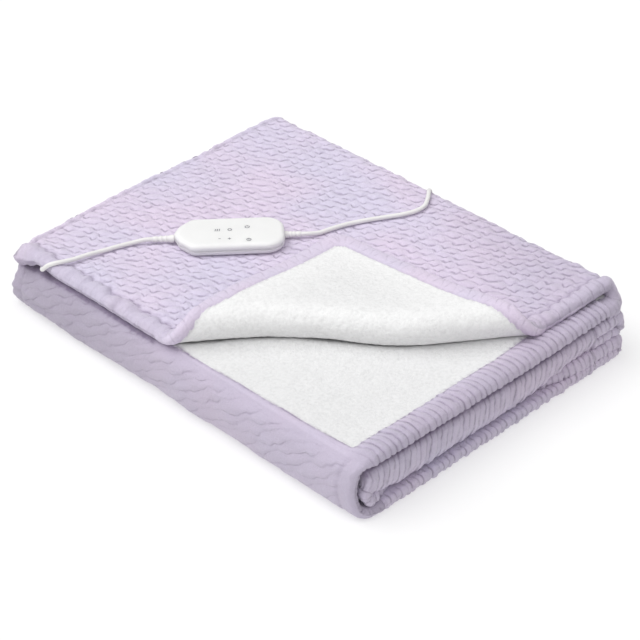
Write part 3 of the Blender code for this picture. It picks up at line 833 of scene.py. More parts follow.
        # Painted shade: the second ply's white is darker than the turned corner's, less so just past the
        # crease, which paints light against the fold's shadow.
        made.painted_shade = blend(made.painted_shade, 0.86 - 0.1 * ridge(beyond - 15.0, 14.0), white)
        # Painted shade in the crevice under the top ply's hem, and on the lining's border line.
        under_hem_shade = smooth_share(spot.u + 2.0 * nicks, -225.0, -221.5) * smooth_share(spot.y, 24.0, 34.0)
        made.groove = max(made.groove, 0.8 * line, under_hem_shade)
        made.puffs *= 1.0 - white
        return made

    def wrap_inside(self, spot):
        """The wrap's inner face, which shows only at the second ply's ends."""
        made = self.puffs(self.ribs, spot, 0.9 * smooth_share(spot.rounding, 0.4, 1.4))
        # Painted shade all over this inner face, and in the gap between the end rolls.
        made.painted_shade = 1.0
        if spot.level > UPPER_TWO:
            made.height -= 4.5 * math.cos(spot.rounding) * (1.0 - spot.in_gap(5.0, 26.0))
            made.groove = spot.in_gap(0.6, 3.0)
        return made

    def inside_border(self, spot, sway, nicks):
        """How far a place is inside the second ply's white lining. Outside it, it is below 0."""
        slant = 0.035 * (spot.y + 160.0)
        covered = 26.0 * smooth_share(spot.y, 12.0, 45.0)
        from_wrap = spot.u - (LINING_X - slant + covered + nicks)
        gathers = 1.1 * math.cos(FULL_TURN * self.ribs.place(spot.u, spot.v)[1])
        return min(from_wrap, spot.near - (LINING_INSET + 6.0 * sway + nicks + gathers))

    def end_roll(self, spot, line):
        """The second ply's ribbed end, rolled over its edge as far as the line of the lining."""
        across = clamp(spot.near / LINING_INSET)
        roll = max(math.sin(math.pi * across**0.85), 0.0) ** 0.85
        share = smooth_share(spot.u, LINING_X - 9.0, LINING_X + 10.0)
        made = self.puffs(self.ribs, spot, 0.8 * share, 1.7)
        made.height += 4.4 * roll * share
        # Painted shade on the roll, darkest at its outer end, and on the lining's border line.
        made.groove = line
        made.painted_shade = 0.68 - 0.3 * smooth_share(spot.near, 12.0, 34.0)
        return made

    def wrap_face(self, spot, sway):
        """The wrap's outer face, with long streaks and a seam near its ends."""
        share = 0.4 * smooth_share(-spot.u, 9.0 - LINING_X, 22.0 - LINING_X)
        share *= smooth_share(spot.near, 6.0, 34.0)
        made = self.puffs(self.streaks, spot, share)
        seam = ridge(spot.near - 21.0 - 3.0 * sway, 2.2)
        made.height -= 1.0 * seam
        # The seam's groove gets painted shade.
        made.groove = 0.45 * seam
        made.height += lumps(spot.u, spot.v, 1.3)
        waves = math.sin(spot.u * 0.36 + 2.0 * noise.noise(Vector((spot.v * 0.02, 2.0, 0.0))))
        made.height += 0.7 * waves * smooth_share(spot.y, 90.0, 250.0)
        # Painted shade, growing darker towards the back end.
        made.painted_shade = 0.58 + 0.42 * smooth_share(spot.y, -60.0, 200.0)
        return made

    def rim(self, spot):
        """A hidden ply, of which only the ends show."""
        share = 0.85 if spot.rolled else 0.85 * (1.0 - smooth_share(spot.near, 8.0, 14.0))
        if spot.level < LOWEST:
            share *= smooth_share(spot.u, -206.0, -176.0)
        made = self.puffs(self.fine_ribs, spot, share, 1.7)
        if spot.rounding and spot.level < LOWER_TWO:  # the lowest two plies read as one roll
            made.height += (2.6 if spot.side > 0 else -0.8) * math.sin(2.0 * spot.rounding)
        # Painted shade on the hidden plies' ends. Under the second ply's end roll it paints shade into
        # the gap, and deeper down it eases off, painting light into the lower crevices.
        made.painted_shade = 0.42
        if spot.level > LEVELS["fourth"][0] and spot.rolled:  # under the second ply's end roll
            upper = smooth_share(spot.at.z, spot.level - 12.0, spot.level)
            inside = min(spot.at.y - spot.front, spot.back - spot.at.y)
            made.height += 3.5 * upper
            made.groove = smooth_share(inside, 2.0, 5.0) * upper
            made.painted_shade = 0.42 * smooth_share(spot.at.z, 20.0, 42.0)
        elif spot.level < LEVELS["fourth"][0]:
            made.painted_shade = 0.2 + 0.22 * smooth_share(spot.rounding, 0.3, 1.3)
        return made

    def turn(self, spot):
        """A turned fold, whose outside shows."""
        if spot.side > 0 or spot.near < 12.0:
            return self.rim(spot)
        made = self.puffs(self.streaks, spot, 0.8 * smooth_share(spot.near, 12.0, 20.0))
        made.height -= 0.5
        # Painted shade on the turned fold's outside.
        made.painted_shade = 0.8
        return made


def bend_corner(at):
    """Folds a point of the top ply's front corner back over the stack."""
    past = past_crease(at.x, at.y)
    near = smooth_share(past, *SWAY_FROM) * (1.0 - smooth_share(past, *SWAY_TO))
    sway = near * crease_sway(at.x, at.y)
    inward = Vector((*CREASE_WAY, 0.0))
    return bend_past(at, past, inward) - inward * sway


def bend_past(at, past, inward):
    """Carries a point that is past the crease round its fold and back."""
    if past <= 0.0:
        return at
    flat, along = LEVELS["top"], (at.x - HEM_X) / FLAP_EDGE
    bow = math.sin(math.pi * clamp(along))
    bow *= 1.0 - smooth_share(at.y, flat[1] + 10.0, flat[1] + 110.0)
    at = at - Vector((0.0, FLAP_SPREAD * bow, 0.0))
    at = at - inward * (FLAP_GIVE - 1.0) * past
    past *= FLAP_GIVE
    rest = flat[0] + TOP_PLY + FLAP_REST_GAP
    level = top_level(at.x)
    radius = CREASE_RADIUS - (at.z - level)
    if past < math.pi * CREASE_RADIUS:
        bend = past / CREASE_RADIUS
        moved = radius * math.sin(bend)
        height = level + CREASE_RADIUS - radius * math.cos(bend)
    else:
        over = past - math.pi * CREASE_RADIUS
        moved = -over
        loose = 1.0 - smooth_share(over, 0.0, FLAP_SETTLES)
        centre = rest + (level + 2.0 * CREASE_RADIUS - rest) * loose
        height = centre + radius - CREASE_RADIUS
    at = at - inward * (moved - past)
    at.z = height
    return at


def settle(at, on_top):
    """The stack's soft swells, and the lift over the cord's exit."""
    if on_top:
        across = (at.x - EXIT_LIFT_X) / EXIT_LIFT_REACH_X
        along = (at.y - EXIT_LIFT_Y) / EXIT_LIFT_REACH_Y
        at.z += EXIT_LIFT * math.exp(-(across**4) - along**4)
        at += Vector(EXIT_CORNER_MOVE) * closeness(at, *EXIT_CORNER)
    elif at.x < -120.0 and at.y > 150.0:  # the wrap's back corner is tucked in above and below
        near = closeness(at, *TUCKED_CORNER)
        tuck = 2.5 + 3.0 * smooth_share(at.z, 36.0, 62.0)
        at.x += tuck * near
        at.y -= tuck * near
        at.z -= 9.0 * near**2 * smooth_share(at.z, 15.0, 70.0)
    elif at.y < -200.0:  # the front ends rise towards the wrap
        lift = FRONT_LIFT * smooth_share(-at.x, -40.0, 150.0)
        lift *= 1.0 - smooth_share(at.y, -300.0, -240.0)
        at.z += lift * smooth_share(at.z, 34.0, 58.0)
    at.z *= sum((share * closeness(at, x, y, reach) for x, y, reach, share in SWELLS), 1.0)
    return at


def shell_layers(bm):
    """Each point's place in its shell, and what the plush's finish reads from it."""
    layers = bm.verts.layers
    made = {name: layers.int.new(name) for name in ("station", "side", "row")}
    made["puff_place"] = layers.float_vector.new("puff_place")
    made.update({name: layers.float.new(name) for name in ("lining", "groove", "painted_shade")})
    return made


def shell_grid(bm, of, station_count, row_count):
    """A closed tube of faces along Y, from one ring of points, capped at both ends."""
    chain = [(i, 1) for i in range(station_count)]
    chain += [(i, -1) for i in reversed(range(station_count))]
    ring = [bm.verts.new() for _ in chain]
    for vertex, (index, side) in zip(ring, chain):
        vertex[of["station"]], vertex[of["side"]] = index, side
    edges = [bm.edges.new((ring[i - 1], ring[i])) for i in range(len(ring))]
    verts = ring
    for row in range(1, row_count):
        grown = bmesh.ops.extrude_edge_only(bm, edges=edges)["geom"]
        verts = points_in(grown)
        for vertex in verts:
            vertex[of["row"]] = row
        edges = [part for part in grown if isinstance(part, bmesh.types.BMEdge) and part.is_boundary]
    for end in (ring, verts):
        found = {(v[of["station"]], v[of["side"]]): v for v in end}
        for i in range(station_count - 1):
            corners = [(i, 1), (i + 1, 1), (i + 1, -1), (i, -1)]
            bm.faces.new([found[corner] for corner in corners])


def cloth_shell(name, stations, rows, cover, on_top=False):
    """Extrudes a stretch of the fold along Y and covers both of its faces."""
    bm = bmesh.new()
    of = shell_layers(bm)
    shell_grid(bm, of, len(stations), len(rows))
    for vertex in bm.verts:
        spot = Spot(stations[vertex[of["station"]]], rows[vertex[of["row"]]], vertex[of["side"]])
        made = cover(spot)
        at = spot.at + spot.outward * made.height
        lifted = on_top and spot.level > LEVELS["top"][0] - TOP_PLY / 2.0
        at = settle(bend_corner(at) if lifted else at, lifted)
        vertex.co = point(at.x, at.y, max(at.z, FLOOR_GAP))
        vertex[of["puff_place"]] = (*made.place, made.puffs)
        vertex[of["lining"]] = made.lining
        vertex[of["groove"]] = made.groove
        vertex[of["painted_shade"]] = made.painted_shade
    piece = add_mesh(name, bm, plush_finish(), "lavender_plush", "blanket", smooth_angle=None)


# ---- Finishes -----------------------------------------------------------------------------------
class Wires:
    """Short ways to add nodes to one tree."""

    def __init__(self, tree):
        self.tree = tree

    def feed(self, node, inputs):
        """Gives a node's inputs links, numbers or colours."""
        for name, value in inputs.items():
            if isinstance(value, bpy.types.NodeSocket):
                self.tree.links.new(value, node.inputs[name])
            elif isinstance(value, (int, float)):
                node.inputs[name].default_value = value
            else:
                node.inputs[name].default_value = (*value[:3], 1.0)

    def node(self, kind, inputs=None, **values):
        made = self.tree.nodes.new("ShaderNode" + kind)
        for name, value in values.items():
            setattr(made, name, value)
        self.feed(made, inputs or {})
        return made

    def math(self, operation, *values, clamp=False):
        inputs = dict(enumerate(values))
        return self.node("Math", inputs, operation=operation, use_clamp=clamp).outputs[0]

    def mix(self, factor, low, high, blend="MIX"):
        inputs = {0: factor, 6: low, 7: high}
        return self.node("Mix", inputs, data_type="RGBA", blend_type=blend).outputs[2]

    def noise(self, vector, scale, detail=2.0, roughness=0.5):
        inputs = {"Vector": vector, "Scale": scale, "Detail": detail, "Roughness": roughness}
        return self.node("TexNoise", inputs).outputs["Fac"]

    def ramp(self, factor, low, high):
        inputs = {"Value": factor, "From Min": low, "From Max": high}
        return self.node("MapRange", inputs, interpolation_type="SMOOTHSTEP").outputs["Result"]

    def attribute(self, name):
        return self.node("Attribute", attribute_name=name).outputs

    def where(self, kind="Object"):
        return self.node("TexCoord").outputs[kind]

    def bump(self, strength, distance, height):
        inputs = {"Strength": strength, "Distance": distance, "Height": height}
        return self.node("Bump", inputs).outputs["Normal"]


def group_tree(name, inputs, outputs):
    """A new shader group with its wires, its inputs and the node that takes its results."""
    tree = bpy.data.node_groups.new(name, "ShaderNodeTree")
    for socket, kind, default in inputs:
        made = tree.interface.new_socket(socket, in_out="INPUT", socket_type="NodeSocket" + kind)
        if default is not None:
            made.default_value = default
    for socket, kind in outputs:
        tree.interface.new_socket(socket, in_out="OUTPUT", socket_type="NodeSocket" + kind)
    return Wires(tree), tree.nodes.new("NodeGroupInput").outputs, tree.nodes.new("NodeGroupOutput")


def new_finish(name):
    """A new material with its wires and its shader."""
    made = bpy.data.materials.new(name)
    made.use_nodes = True
    return made, Wires(made.node_tree), made.node_tree.nodes["Principled BSDF"]


def scaled(tint, share):
    return tuple(c * share for c in tint)


def crevice_group():
    """From a place in the puffs' pattern to how deep in a crevice it is, from 0 to 1, deeper under each
    puff, where the finish paints its shadow.
    """
    found = bpy.data.node_groups.get("puff_crevices")
    if found:
        return found
    sockets = [("Place", "Vector", None), ("Width", "Float", 0.2)]
    w, given, result = group_tree("puff_crevices", sockets, [("Crevice", "Float")])
    along, over, strength = w.node("SeparateXYZ", {0: given["Place"]}).outputs
    swings = []
    for shift in (0.0, math.pi):
        turn_by = w.math("ADD", w.math("MULTIPLY", along, FULL_TURN), shift)
        skewed = w.math("MULTIPLY_ADD", w.math("COSINE", turn_by), SKEW, turn_by)
        swings.append(w.math("COSINE", skewed))
    row = w.math("FLOOR", over)
    share = w.math("SUBTRACT", over, row)
    odd = w.math("FLOORED_MODULO", row, 2.0)
    apart = w.math("MULTIPLY", odd, w.math("SUBTRACT", swings[1], swings[0]))
    low, high = w.math("ADD", swings[0], apart), w.math("SUBTRACT", swings[1], apart)
    fullness = w.math("MULTIPLY", w.math("SUBTRACT", low, high), 0.5)
    sides = []
    for offset, swing, way in ((0.0, low, 1.0), (-1.0, high, -1.0)):
        away = w.math("ADD", w.math("MULTIPLY_ADD", swing, WAVE, share), offset)
        away = w.math("DIVIDE", w.math("ABSOLUTE", away), given["Width"])
        # Painted shadow: each crevice counts deeper on the side under a puff.
        under_puff = w.ramp(w.math("MULTIPLY", fullness, way), -0.9, 0.5)
        deep = w.math("MULTIPLY_ADD", under_puff, 0.62, 0.38)
        sides.append(w.math("MULTIPLY", w.math("SUBTRACT", 1.0, away, clamp=True), deep))
    crevice = w.math("MULTIPLY", w.math("MAXIMUM", *sides), strength, clamp=True)
    w.feed(result, {"Crevice": crevice})
    return w.tree


def plush_colour(w, colours, broad, tufts, speckle, painted_shade):
    """Lavender pile in pink and cool clouds, with tufts and flecks, mixed towards a darker copy as
    painted shade.
    """
    pink = tuple(c * k for c, k in zip(colours.plush, (1.05, 0.985, 0.99)))
    cool = tuple(c * k for c, k in zip(colours.plush, (0.92, 0.975, 0.99)))
    puffs = w.mix(broad, cool, pink)
    darker = w.mix(1.0, puffs, (0.86, 0.85, 0.87), "MULTIPLY")
    puffs = w.mix(w.math("MULTIPLY", tufts, 0.5), puffs, darker)
    puffs = w.mix(0.45, puffs, w.mix(speckle, scaled(colours.plush, 0.9), colours.plush))
    # Painted shade: the shaded copy of the plush.
    side = w.mix(speckle, scaled(colours.shaded_plush, 0.9), colours.shaded_plush)
    return w.mix(painted_shade, puffs, side)


def lining_colour(w, colours, curls, mottle, painted_shade):
    """White curls, a little darker between them, with painted shade mixed in."""
    white = w.mix(w.ramp(curls, 0.30, 0.62), scaled(colours.lining, 0.9), colours.lining)
    white = w.mix(w.math("MULTIPLY", mottle, 0.35), white, scaled(colours.lining, 1.03))
    # Painted shade: a darker copy of the white.
    return w.mix(painted_shade, white, w.mix(1.0, white, (0.86, 0.86, 0.865), "MULTIPLY"))


def plush_finish():
    """Lavender plush with painted shade in its crevices and grooves, and white curly lining where the
    cloth shows it.
    """
    found = bpy.data.materials.get("lavender_plush_pile")
    if found:
        return found
    made, w, shader = new_finish("lavender_plush_pile")
    colours = settings().colours
    where = w.where()
    groove, painted_shade = w.attribute("groove")["Fac"], w.attribute("painted_shade")["Fac"]
    inputs = {"Width": 0.15, "Place": w.attribute("puff_place")["Vector"]}
    crevice = w.node("Group", node_tree=crevice_group())
    w.feed(crevice, inputs)
    broken = w.ramp(w.noise(where, 90.0, 3.0, 0.6), 0.30, 0.62)
    crevice = w.math("MULTIPLY", crevice.outputs["Crevice"], w.math("ADD", 0.35, broken), clamp=True)
    broad = w.ramp(w.noise(where, 9.0), 0.30, 0.70)
    fibre = w.noise(where, 900.0, 3.0, 0.7)
    tufts = w.ramp(w.noise(where, 300.0, 3.0, 0.6), 0.25, 0.75)
    curls = w.noise(where, 260.0, 4.0, 0.65)
    mottle = w.ramp(w.noise(where, 75.0, 3.0, 0.6), 0.28, 0.72)

    plush = plush_colour(w, colours, broad, tufts, w.ramp(fibre, 0.30, 0.72), painted_shade)
    # Painted shade in the crevices, deeper where the cloth is shaded.
    depth = w.math("MULTIPLY", crevice, w.math("MULTIPLY_ADD", painted_shade, 0.28, 0.52), clamp=True)
    plush = w.mix(depth, plush, colours.plush_crevice_shade)
    frayed = w.math("MULTIPLY", w.math("SUBTRACT", curls, 0.5), 0.5)
    is_white = w.ramp(w.math("ADD", w.attribute("lining")["Fac"], frayed), 0.40, 0.60)
    either = w.mix(is_white, plush, lining_colour(w, colours, curls, mottle, painted_shade))
    # Painted shade in the grooves: seams, hem lines and gaps between the rolls.
    lines = w.math("MULTIPLY", groove, w.math("MULTIPLY_ADD", broken, 0.35, 0.2))
    lines = w.math("MULTIPLY_ADD", w.math("POWER", groove, 4.0), 0.45, lines, clamp=True)

    nap = w.math("MULTIPLY_ADD", tufts, 0.35, w.math("MULTIPLY", fibre, 0.30))
    nap = w.math("SUBTRACT", nap, w.math("MULTIPLY", crevice, 0.9))
    curly = w.math("ADD", w.math("MULTIPLY", curls, 0.9), w.math("MULTIPLY", mottle, 0.5))
    lift = w.node("Mix", {0: is_white, 2: nap, 3: curly}, data_type="FLOAT").outputs[0]
    finish = {
        "Base Color": w.mix(lines, either, colours.plush_crevice_shade),
        "Roughness": w.math("ADD", 0.90, w.math("MULTIPLY", fibre, 0.08)),
        "Sheen Weight": 0.28,
        "Sheen Roughness": 0.55,
        "Specular IOR Level": 0.12,
        "Normal": w.bump(0.55, 0.0022, lift),
    }
    w.feed(shader, finish)
    return made


def grain_group():
    """Fine moulded grain: a tone, a roughness and a normal."""
    found = bpy.data.node_groups.get("moulded_grain")
    if found:
        return found
    inputs = [("Scale", "Float", 900.0), ("Roughness", "Float", 0.4), ("Depth", "Float", 0.00004)]
    outputs = [("Tone", "Float"), ("Roughness", "Float"), ("Normal", "Vector")]
    w, given, result = group_tree("moulded_grain", inputs, outputs)
    where = w.where()
    cloud = w.noise(where, 18.0)
    uneven = w.math("MULTIPLY", w.math("SUBTRACT", cloud, 0.5), 0.16)
    results = {
        "Tone": w.ramp(cloud, 0.2, 0.8),
        "Roughness": w.math("ADD", given["Roughness"], uneven, clamp=True),
        "Normal": w.bump(0.25, given["Depth"], w.noise(where, given["Scale"])),
    }
    w.feed(result, results)
    return w.tree


def moulded_finish(name, tint, roughness, scale=900.0, metallic=0.0, coat=0.0, glow=0.0):
    """A moulded or plated finish with faint grain and tone."""
    found = bpy.data.materials.get(name)
    if found:
        return found
    made, w, shader = new_finish(name)
    grain = w.node("Group", node_tree=grain_group())
    w.feed(grain, {"Scale": scale, "Roughness": roughness})
    finish = {
        "Base Color": w.mix(grain.outputs["Tone"], scaled(tint, 0.965), tint),
        "Roughness": grain.outputs["Roughness"],
        "Normal": grain.outputs["Normal"],
        "Metallic": metallic,
        "Coat Weight": coat,
        "Subsurface Weight": glow,
        "Subsurface Scale": 0.006,
    }
    w.feed(shader, finish)
    shader.inputs["Subsurface Radius"].default_value = (1.0, 1.0, 1.0)
    return made


def plastic_finish():
    return moulded_finish("white_plastic_shell", settings().colours.plastic, 0.42, coat=0.1, glow=0.8)


def sheath_finish():
    return moulded_finish("white_cord_sheath", settings().colours.sheath, 0.48, 500.0)


# ---- The hand control ---------------------------------------------------------------------------
def from_control(along, across, height):
    """A place on the hand control, in the fold's own millimetres."""
    angle = math.radians(CONTROL_ANGLE)
    x = CONTROL_CENTRE[0] + along * math.cos(angle) - across * math.sin(angle)
    y = CONTROL_CENTRE[1] + along * math.sin(angle) + across * math.cos(angle)
    return Vector((x, y, CONTROL_SEAT_Z + height))


def control_matrix(along=0.0, across=0.0, height=0.0, turn_by=0.0):
    """Puts a piece made at the origin, in metres, onto the hand control."""
    spot = (from_control(along, across, height) + MOVED) * MM
    return Matrix.Translation(spot) @ Matrix.Rotation(math.radians(CONTROL_ANGLE + turn_by), 4, "Z")


def control_ends(side):
    """The straight start of a cord at its strain relief on the hand control."""
    if side == "left":
        at = CONTROL_LEFT_X - LEFT_RELIEF_LENGTH - 2.0 * SEAT
        places = (at - STRAIGHT, at)
    else:
        at = CONTROL_RIGHT_X + RIGHT_RELIEF_LENGTH + 2.0 * SEAT
        places = (at, at + STRAIGHT)
    return [tuple(from_control(along, 0.0, CONTROL_EXIT_Z)) for along in places]


def outline_hull(profile, steps=56):
    """The shell that holds the control's rounded outline at each (height, draw-in)."""
    bm = bmesh.new()
    for z, inset in profile:
        for x, y, radius in CONTROL_CORNERS:
            spot = Matrix.Translation(Vector((x, y, z)) * MM)
            bmesh.ops.create_circle(bm, segments=steps, radius=(radius - inset) * MM, matrix=spot)
    made = bmesh.ops.convex_hull(bm, input=bm.verts)
    inside = points_in(set(made["geom_interior"] + made["geom_unused"]))
    bmesh.ops.delete(bm, geom=inside, context="VERTS")
    flat = math.radians(0.3)
    bmesh.ops.dissolve_limit(bm, angle_limit=flat, verts=bm.verts, edges=bm.edges, delimit=set())
    bmesh.ops.transform(bm, matrix=control_matrix(), verts=bm.verts)
    return bm


def spun(profile, matrix, steps=32):
    """A closed turned shape along its own +X, in metres. Profile: (along, radius) in mm."""
    bm = bmesh.new()
    outline = [bm.verts.new((along * MM, 0.0, radius * MM)) for along, radius in profile]
    edges = [bm.edges.new(pair) for pair in zip(outline, outline[1:])]
    bmesh.ops.spin(
        bm,
        geom=outline + edges,
        cent=(0.0, 0.0, 0.0),
        axis=(1.0, 0.0, 0.0),
        angle=FULL_TURN,
        steps=steps,
        use_merge=True,
    )
    bmesh.ops.remove_doubles(bm, verts=bm.verts, dist=1e-6)
    bmesh.ops.holes_fill(bm, edges=bm.edges)
    bmesh.ops.transform(bm, matrix=matrix, verts=bm.verts)
    return bm


def relief_profile(length, wide, narrow):
    """A tapered strain relief with three shallow rings, with soft edges."""
    step = length / 8.0
    made = [(0.0, wide - 0.4), (0.4, wide), (step * 1.4, wide), (step * 1.5, wide - 0.2)]
    for ring in range(3):
        start = step * (2.0 + ring * 1.7)
        radius = wide + (narrow - wide) * (start / length)
        made += [
            (start, radius - 0.5),
            (start + step * 0.5, radius - 0.6),
            (start + step * 0.8, radius - 0.25),
            (start + step, radius),
        ]
    return made + [(length - 0.4, narrow), (length, narrow - 0.3)]


def add_relief(name, matrix, length, wide, narrow, node):
    """A tapered strain relief, from its wide end to its narrow one."""
    bm = spun(relief_profile(length, wide, narrow), matrix)
    return add_mesh(name, bm, sheath_finish(), "white_cord", node)


SIGNS = {
    # Each piece of print is (shape, along, across, size, turn).
    "sign_power": [("ring", 21.0, 4.0, 3.0, 0.0), ("bar", 21.0, 6.2, 1.6, 90.0)],
    "sign_timer": [("full ring", 22.0, -24.0, 3.0, 0.0), ("bar", 22.0, -23.2, 1.2, 90.0)],
    "sign_heat": [("bar", along, -1.0, 2.4, 80.0) for along in (-17.2, -14.7, -12.2)],
    "sign_time": [("full ring", 0.0, -0.8, 2.6, 0.0)],
    "sign_less": [("bar", -12.5, -20.0, 1.4, 0.0)],
    "sign_more": [("bar", -1.0, -20.5, 2.0, turn_by) for turn_by in (0.0, 90.0)],
}


def sign_part(kind, size):
    """One flat bar or ring, at the origin. A ring that isn't full has a gap at its top."""
    part = bmesh.new()
    if kind == "bar":
        bmesh.ops.create_grid(part, x_segments=1, y_segments=1, size=0.5 * MM)
        bmesh.ops.scale(part, vec=(size * 2.0, BAR_WIDTH, 1.0), verts=part.verts)
        return part
    for radius in (size, size - RING_WIDTH):
        bmesh.ops.create_circle(part, segments=28, radius=radius * MM)
    bmesh.ops.bridge_loops(part, edges=part.edges[:])
    if kind == "ring":
        gap = [face for face in part.faces if face.calc_center_median().y > 0.7 * size * MM]
        bmesh.ops.delete(part, geom=gap, context="FACES")
    return part


def sign_mesh(shapes):
    """Thin raised print, made of bars and rings."""
    bm = bmesh.new()
    mesh = bpy.data.meshes.new("sign_part")
    for kind, along, across, size, turn_by in shapes:
        part = sign_part(kind, size)
        matrix = control_matrix(along, across, CONTROL_HEIGHT + 0.02, turn_by)
        bmesh.ops.transform(part, matrix=matrix, verts=part.verts)
        grown = bmesh.ops.extrude_face_region(part, geom=part.faces[:])["geom"]
        bmesh.ops.translate(part, verts=points_in(grown), vec=(0.0, 0.0, PRINT_HEIGHT * MM))
        part.to_mesh(mesh)
        part.free()
        bm.from_mesh(mesh)
    bpy.data.meshes.remove(mesh)
    return bm


# ---- Cords --------------------------------------------------------------------------------------
def smooth_route(route, step):
    """Points a step apart on one smooth curve through the route's own points."""
    ways = [Vector(p) for p in route]
    knots = [2.0 * ways[0] - ways[1], *ways, 2.0 * ways[-1] - ways[-2]]
    fine = []
    for a, b, c, d in zip(knots, knots[1:], knots[2:], knots[3:]):
        first, second, third = c - a, 2.0 * a - 5.0 * b + 4.0 * c - d, 3.0 * b - a - 3.0 * c + d
        for i in range(CURVE_STEPS):
            t = i / CURVE_STEPS
            fine.append(0.5 * (2.0 * b + first * t + second * t**2 + third * t**3))
    fine.append(ways[-1])
    length = sum((q - p).length for p, q in zip(fine, fine[1:]))
    count = max(3, round(length / step))
    made, walked, target = [fine[0]], 0.0, length / count
    for p, q in zip(fine, fine[1:]):
        part = (q - p).length
        while walked + part >= target - 1e-6 and len(made) < count:
            made.append(p.lerp(q, (target - walked) / part))
            target += length / count
        walked += part
    made.append(fine[-1])
    return made


def coil_cell(index):
    """Radius and height of the coil's turn with this number."""
    across, up = COIL_CELLS[index]
    return Vector((COIL_RADIUS + (across - 1) * COIL_PITCH, COIL_FLOOR + up * COIL_PITCH))


def coil_route():
    """The wound cord: each turn moves to the next cell of the section, one after the other."""
    made, angle = [], COIL_FROM
    while angle <= COIL_FROM + COIL_TURNS * 360.0 + 0.1:
        index = math.floor((angle - CELL_FIRST) / CELL_EVERY) + 1
        index = clamp(index, 0, len(COIL_CELLS) - 1)
        at = coil_cell(index)
        if index:
            change = CELL_FIRST + CELL_EVERY * (index - 1)
            at = coil_cell(index - 1).lerp(at, smooth_share(angle, change, change + CELL_CHANGE))
        turned = math.radians(angle)
        x = COIL_CENTRE[0] + at.x * math.cos(turned)
        made.append(Vector((x, COIL_CENTRE[1] + at.x * math.sin(turned), at.y)))
        angle += COIL_STEP
    return made


def cord_curve(name, points, *replaced):
    """A round cord through points a few millimetres apart."""
    curve = bpy.data.curves.new(name, "CURVE")
    curve.dimensions = "3D"
    curve.bevel_depth = settings().cord / 2.0 * MM
    curve.bevel_resolution = 5
    curve.use_fill_caps = True
    spline = curve.splines.new("POLY")
    spline.points.add(len(points) - 1)
    for spot, at in zip(spline.points, points):
        spot.co = (*point(*at), 1.0)
    curve.materials.append(sheath_finish())
    return add_piece(bpy.data.objects.new(name, curve), "white_cord", *replaced)


def lay_lead():
    """The lead from its strain relief under the hem to the hand control."""
    start = Vector(LEAD_ROUTE[0])
    way = start - Vector(LEAD_ROUTE[1])
    way.z = 0.0
    tail = start + way.normalized() * (HEM_RELIEF_LENGTH + SEAT)
    yaw = Matrix.Rotation(math.atan2(-way.y, -way.x), 4, "Z")
    profile = [(0.0, 2.6), (0.4, 3.0), (8.0, 3.2), (9.0, 3.0), (17.0, 2.9)]
    profile += [(HEM_RELIEF_LENGTH - 0.4, 2.8), (HEM_RELIEF_LENGTH, 2.5)]
    bm = spun(profile, Matrix.Translation((tail + MOVED) * MM) @ yaw)
    hidden = add_mesh("hem_strain_relief", bm, sheath_finish(), "white_cord", "blanket_relief")
    points = smooth_route(LEAD_ROUTE + control_ends("left"), ROUTE_STEP)
    lead = cord_curve("lead_cord_sheath", points, "lead_cord")


def lay_mains():
    """The mains cord from the hand control over the stack, through its coil to the plug."""
    coil = coil_route()
    loose = control_ends("right") + MAINS_ROUTE + [tuple(coil[0])]
    x, y = PLUG_POINT
    y += PLUG_RELIEF_LENGTH + 2.0 * SEAT
    plug_ends = [(x, y + away, PLUG_HEIGHT / 2.0 + PLUG_FLOOR) for away in (STRAIGHT, 0.0)]
    tail_end = [tuple(coil[-2]), tuple(coil[-1])] + PLUG_ROUTE + plug_ends
    tail_end = smooth_route(tail_end, ROUTE_STEP)
    tail_end = [p for p in tail_end if (p - coil[-1]).length > 4.0 and p.y < coil[-1].y]
    points = smooth_route(loose, ROUTE_STEP) + coil[1:] + tail_end
    mains = cord_curve("mains_cord_sheath", points, "mains_cord", "mains_coil", "plug_cord")
    pieces = ["plug_body_shell", "plug_strain_relief", "plug_pin_metal_a", "plug_pin_metal_b"]
    pieces += ["plug_pin_sleeve_a", "plug_pin_sleeve_b", "control_relief_right"]
    tie = coil_tie()


def coil_tie():
    """A soft strap round the coil's turns."""
    bm = bmesh.new()
    reach = COIL_PITCH + settings().cord / 2.0 + 0.35
    ring = []
    for i in range(TIE_STEPS):
        x, z = squarish(math.radians(360.0 / TIE_STEPS * i), reach, reach, 0.4, 0.4)
        spot = Vector((COIL_RADIUS + x, -TIE_WIDTH / 2.0, COIL_FLOOR + COIL_PITCH + z))
        ring.append(bm.verts.new(spot * MM))
    edges = [bm.edges.new((ring[i - 1], ring[i])) for i in range(TIE_STEPS)]
    grown = bmesh.ops.extrude_edge_only(bm, edges=edges)["geom"]
    bmesh.ops.translate(bm, verts=points_in(grown), vec=(0.0, TIE_WIDTH * MM, 0.0))
    bmesh.ops.recalc_face_normals(bm, faces=bm.faces)
    bmesh.ops.solidify(bm, geom=bm.faces[:], thickness=0.9 * MM)
    turned = Matrix.Rotation(math.radians(TIE_ANGLE), 4, "Z")
    place = Matrix.Translation(point(*COIL_CENTRE, 0.0))
    bmesh.ops.transform(bm, matrix=place @ turned, verts=bm.verts)
    for vertex in bm.verts:
        vertex.co.z = max(vertex.co.z, 0.0)
    return add_mesh("coil_tie", bm, sheath_finish(), "white_cord")


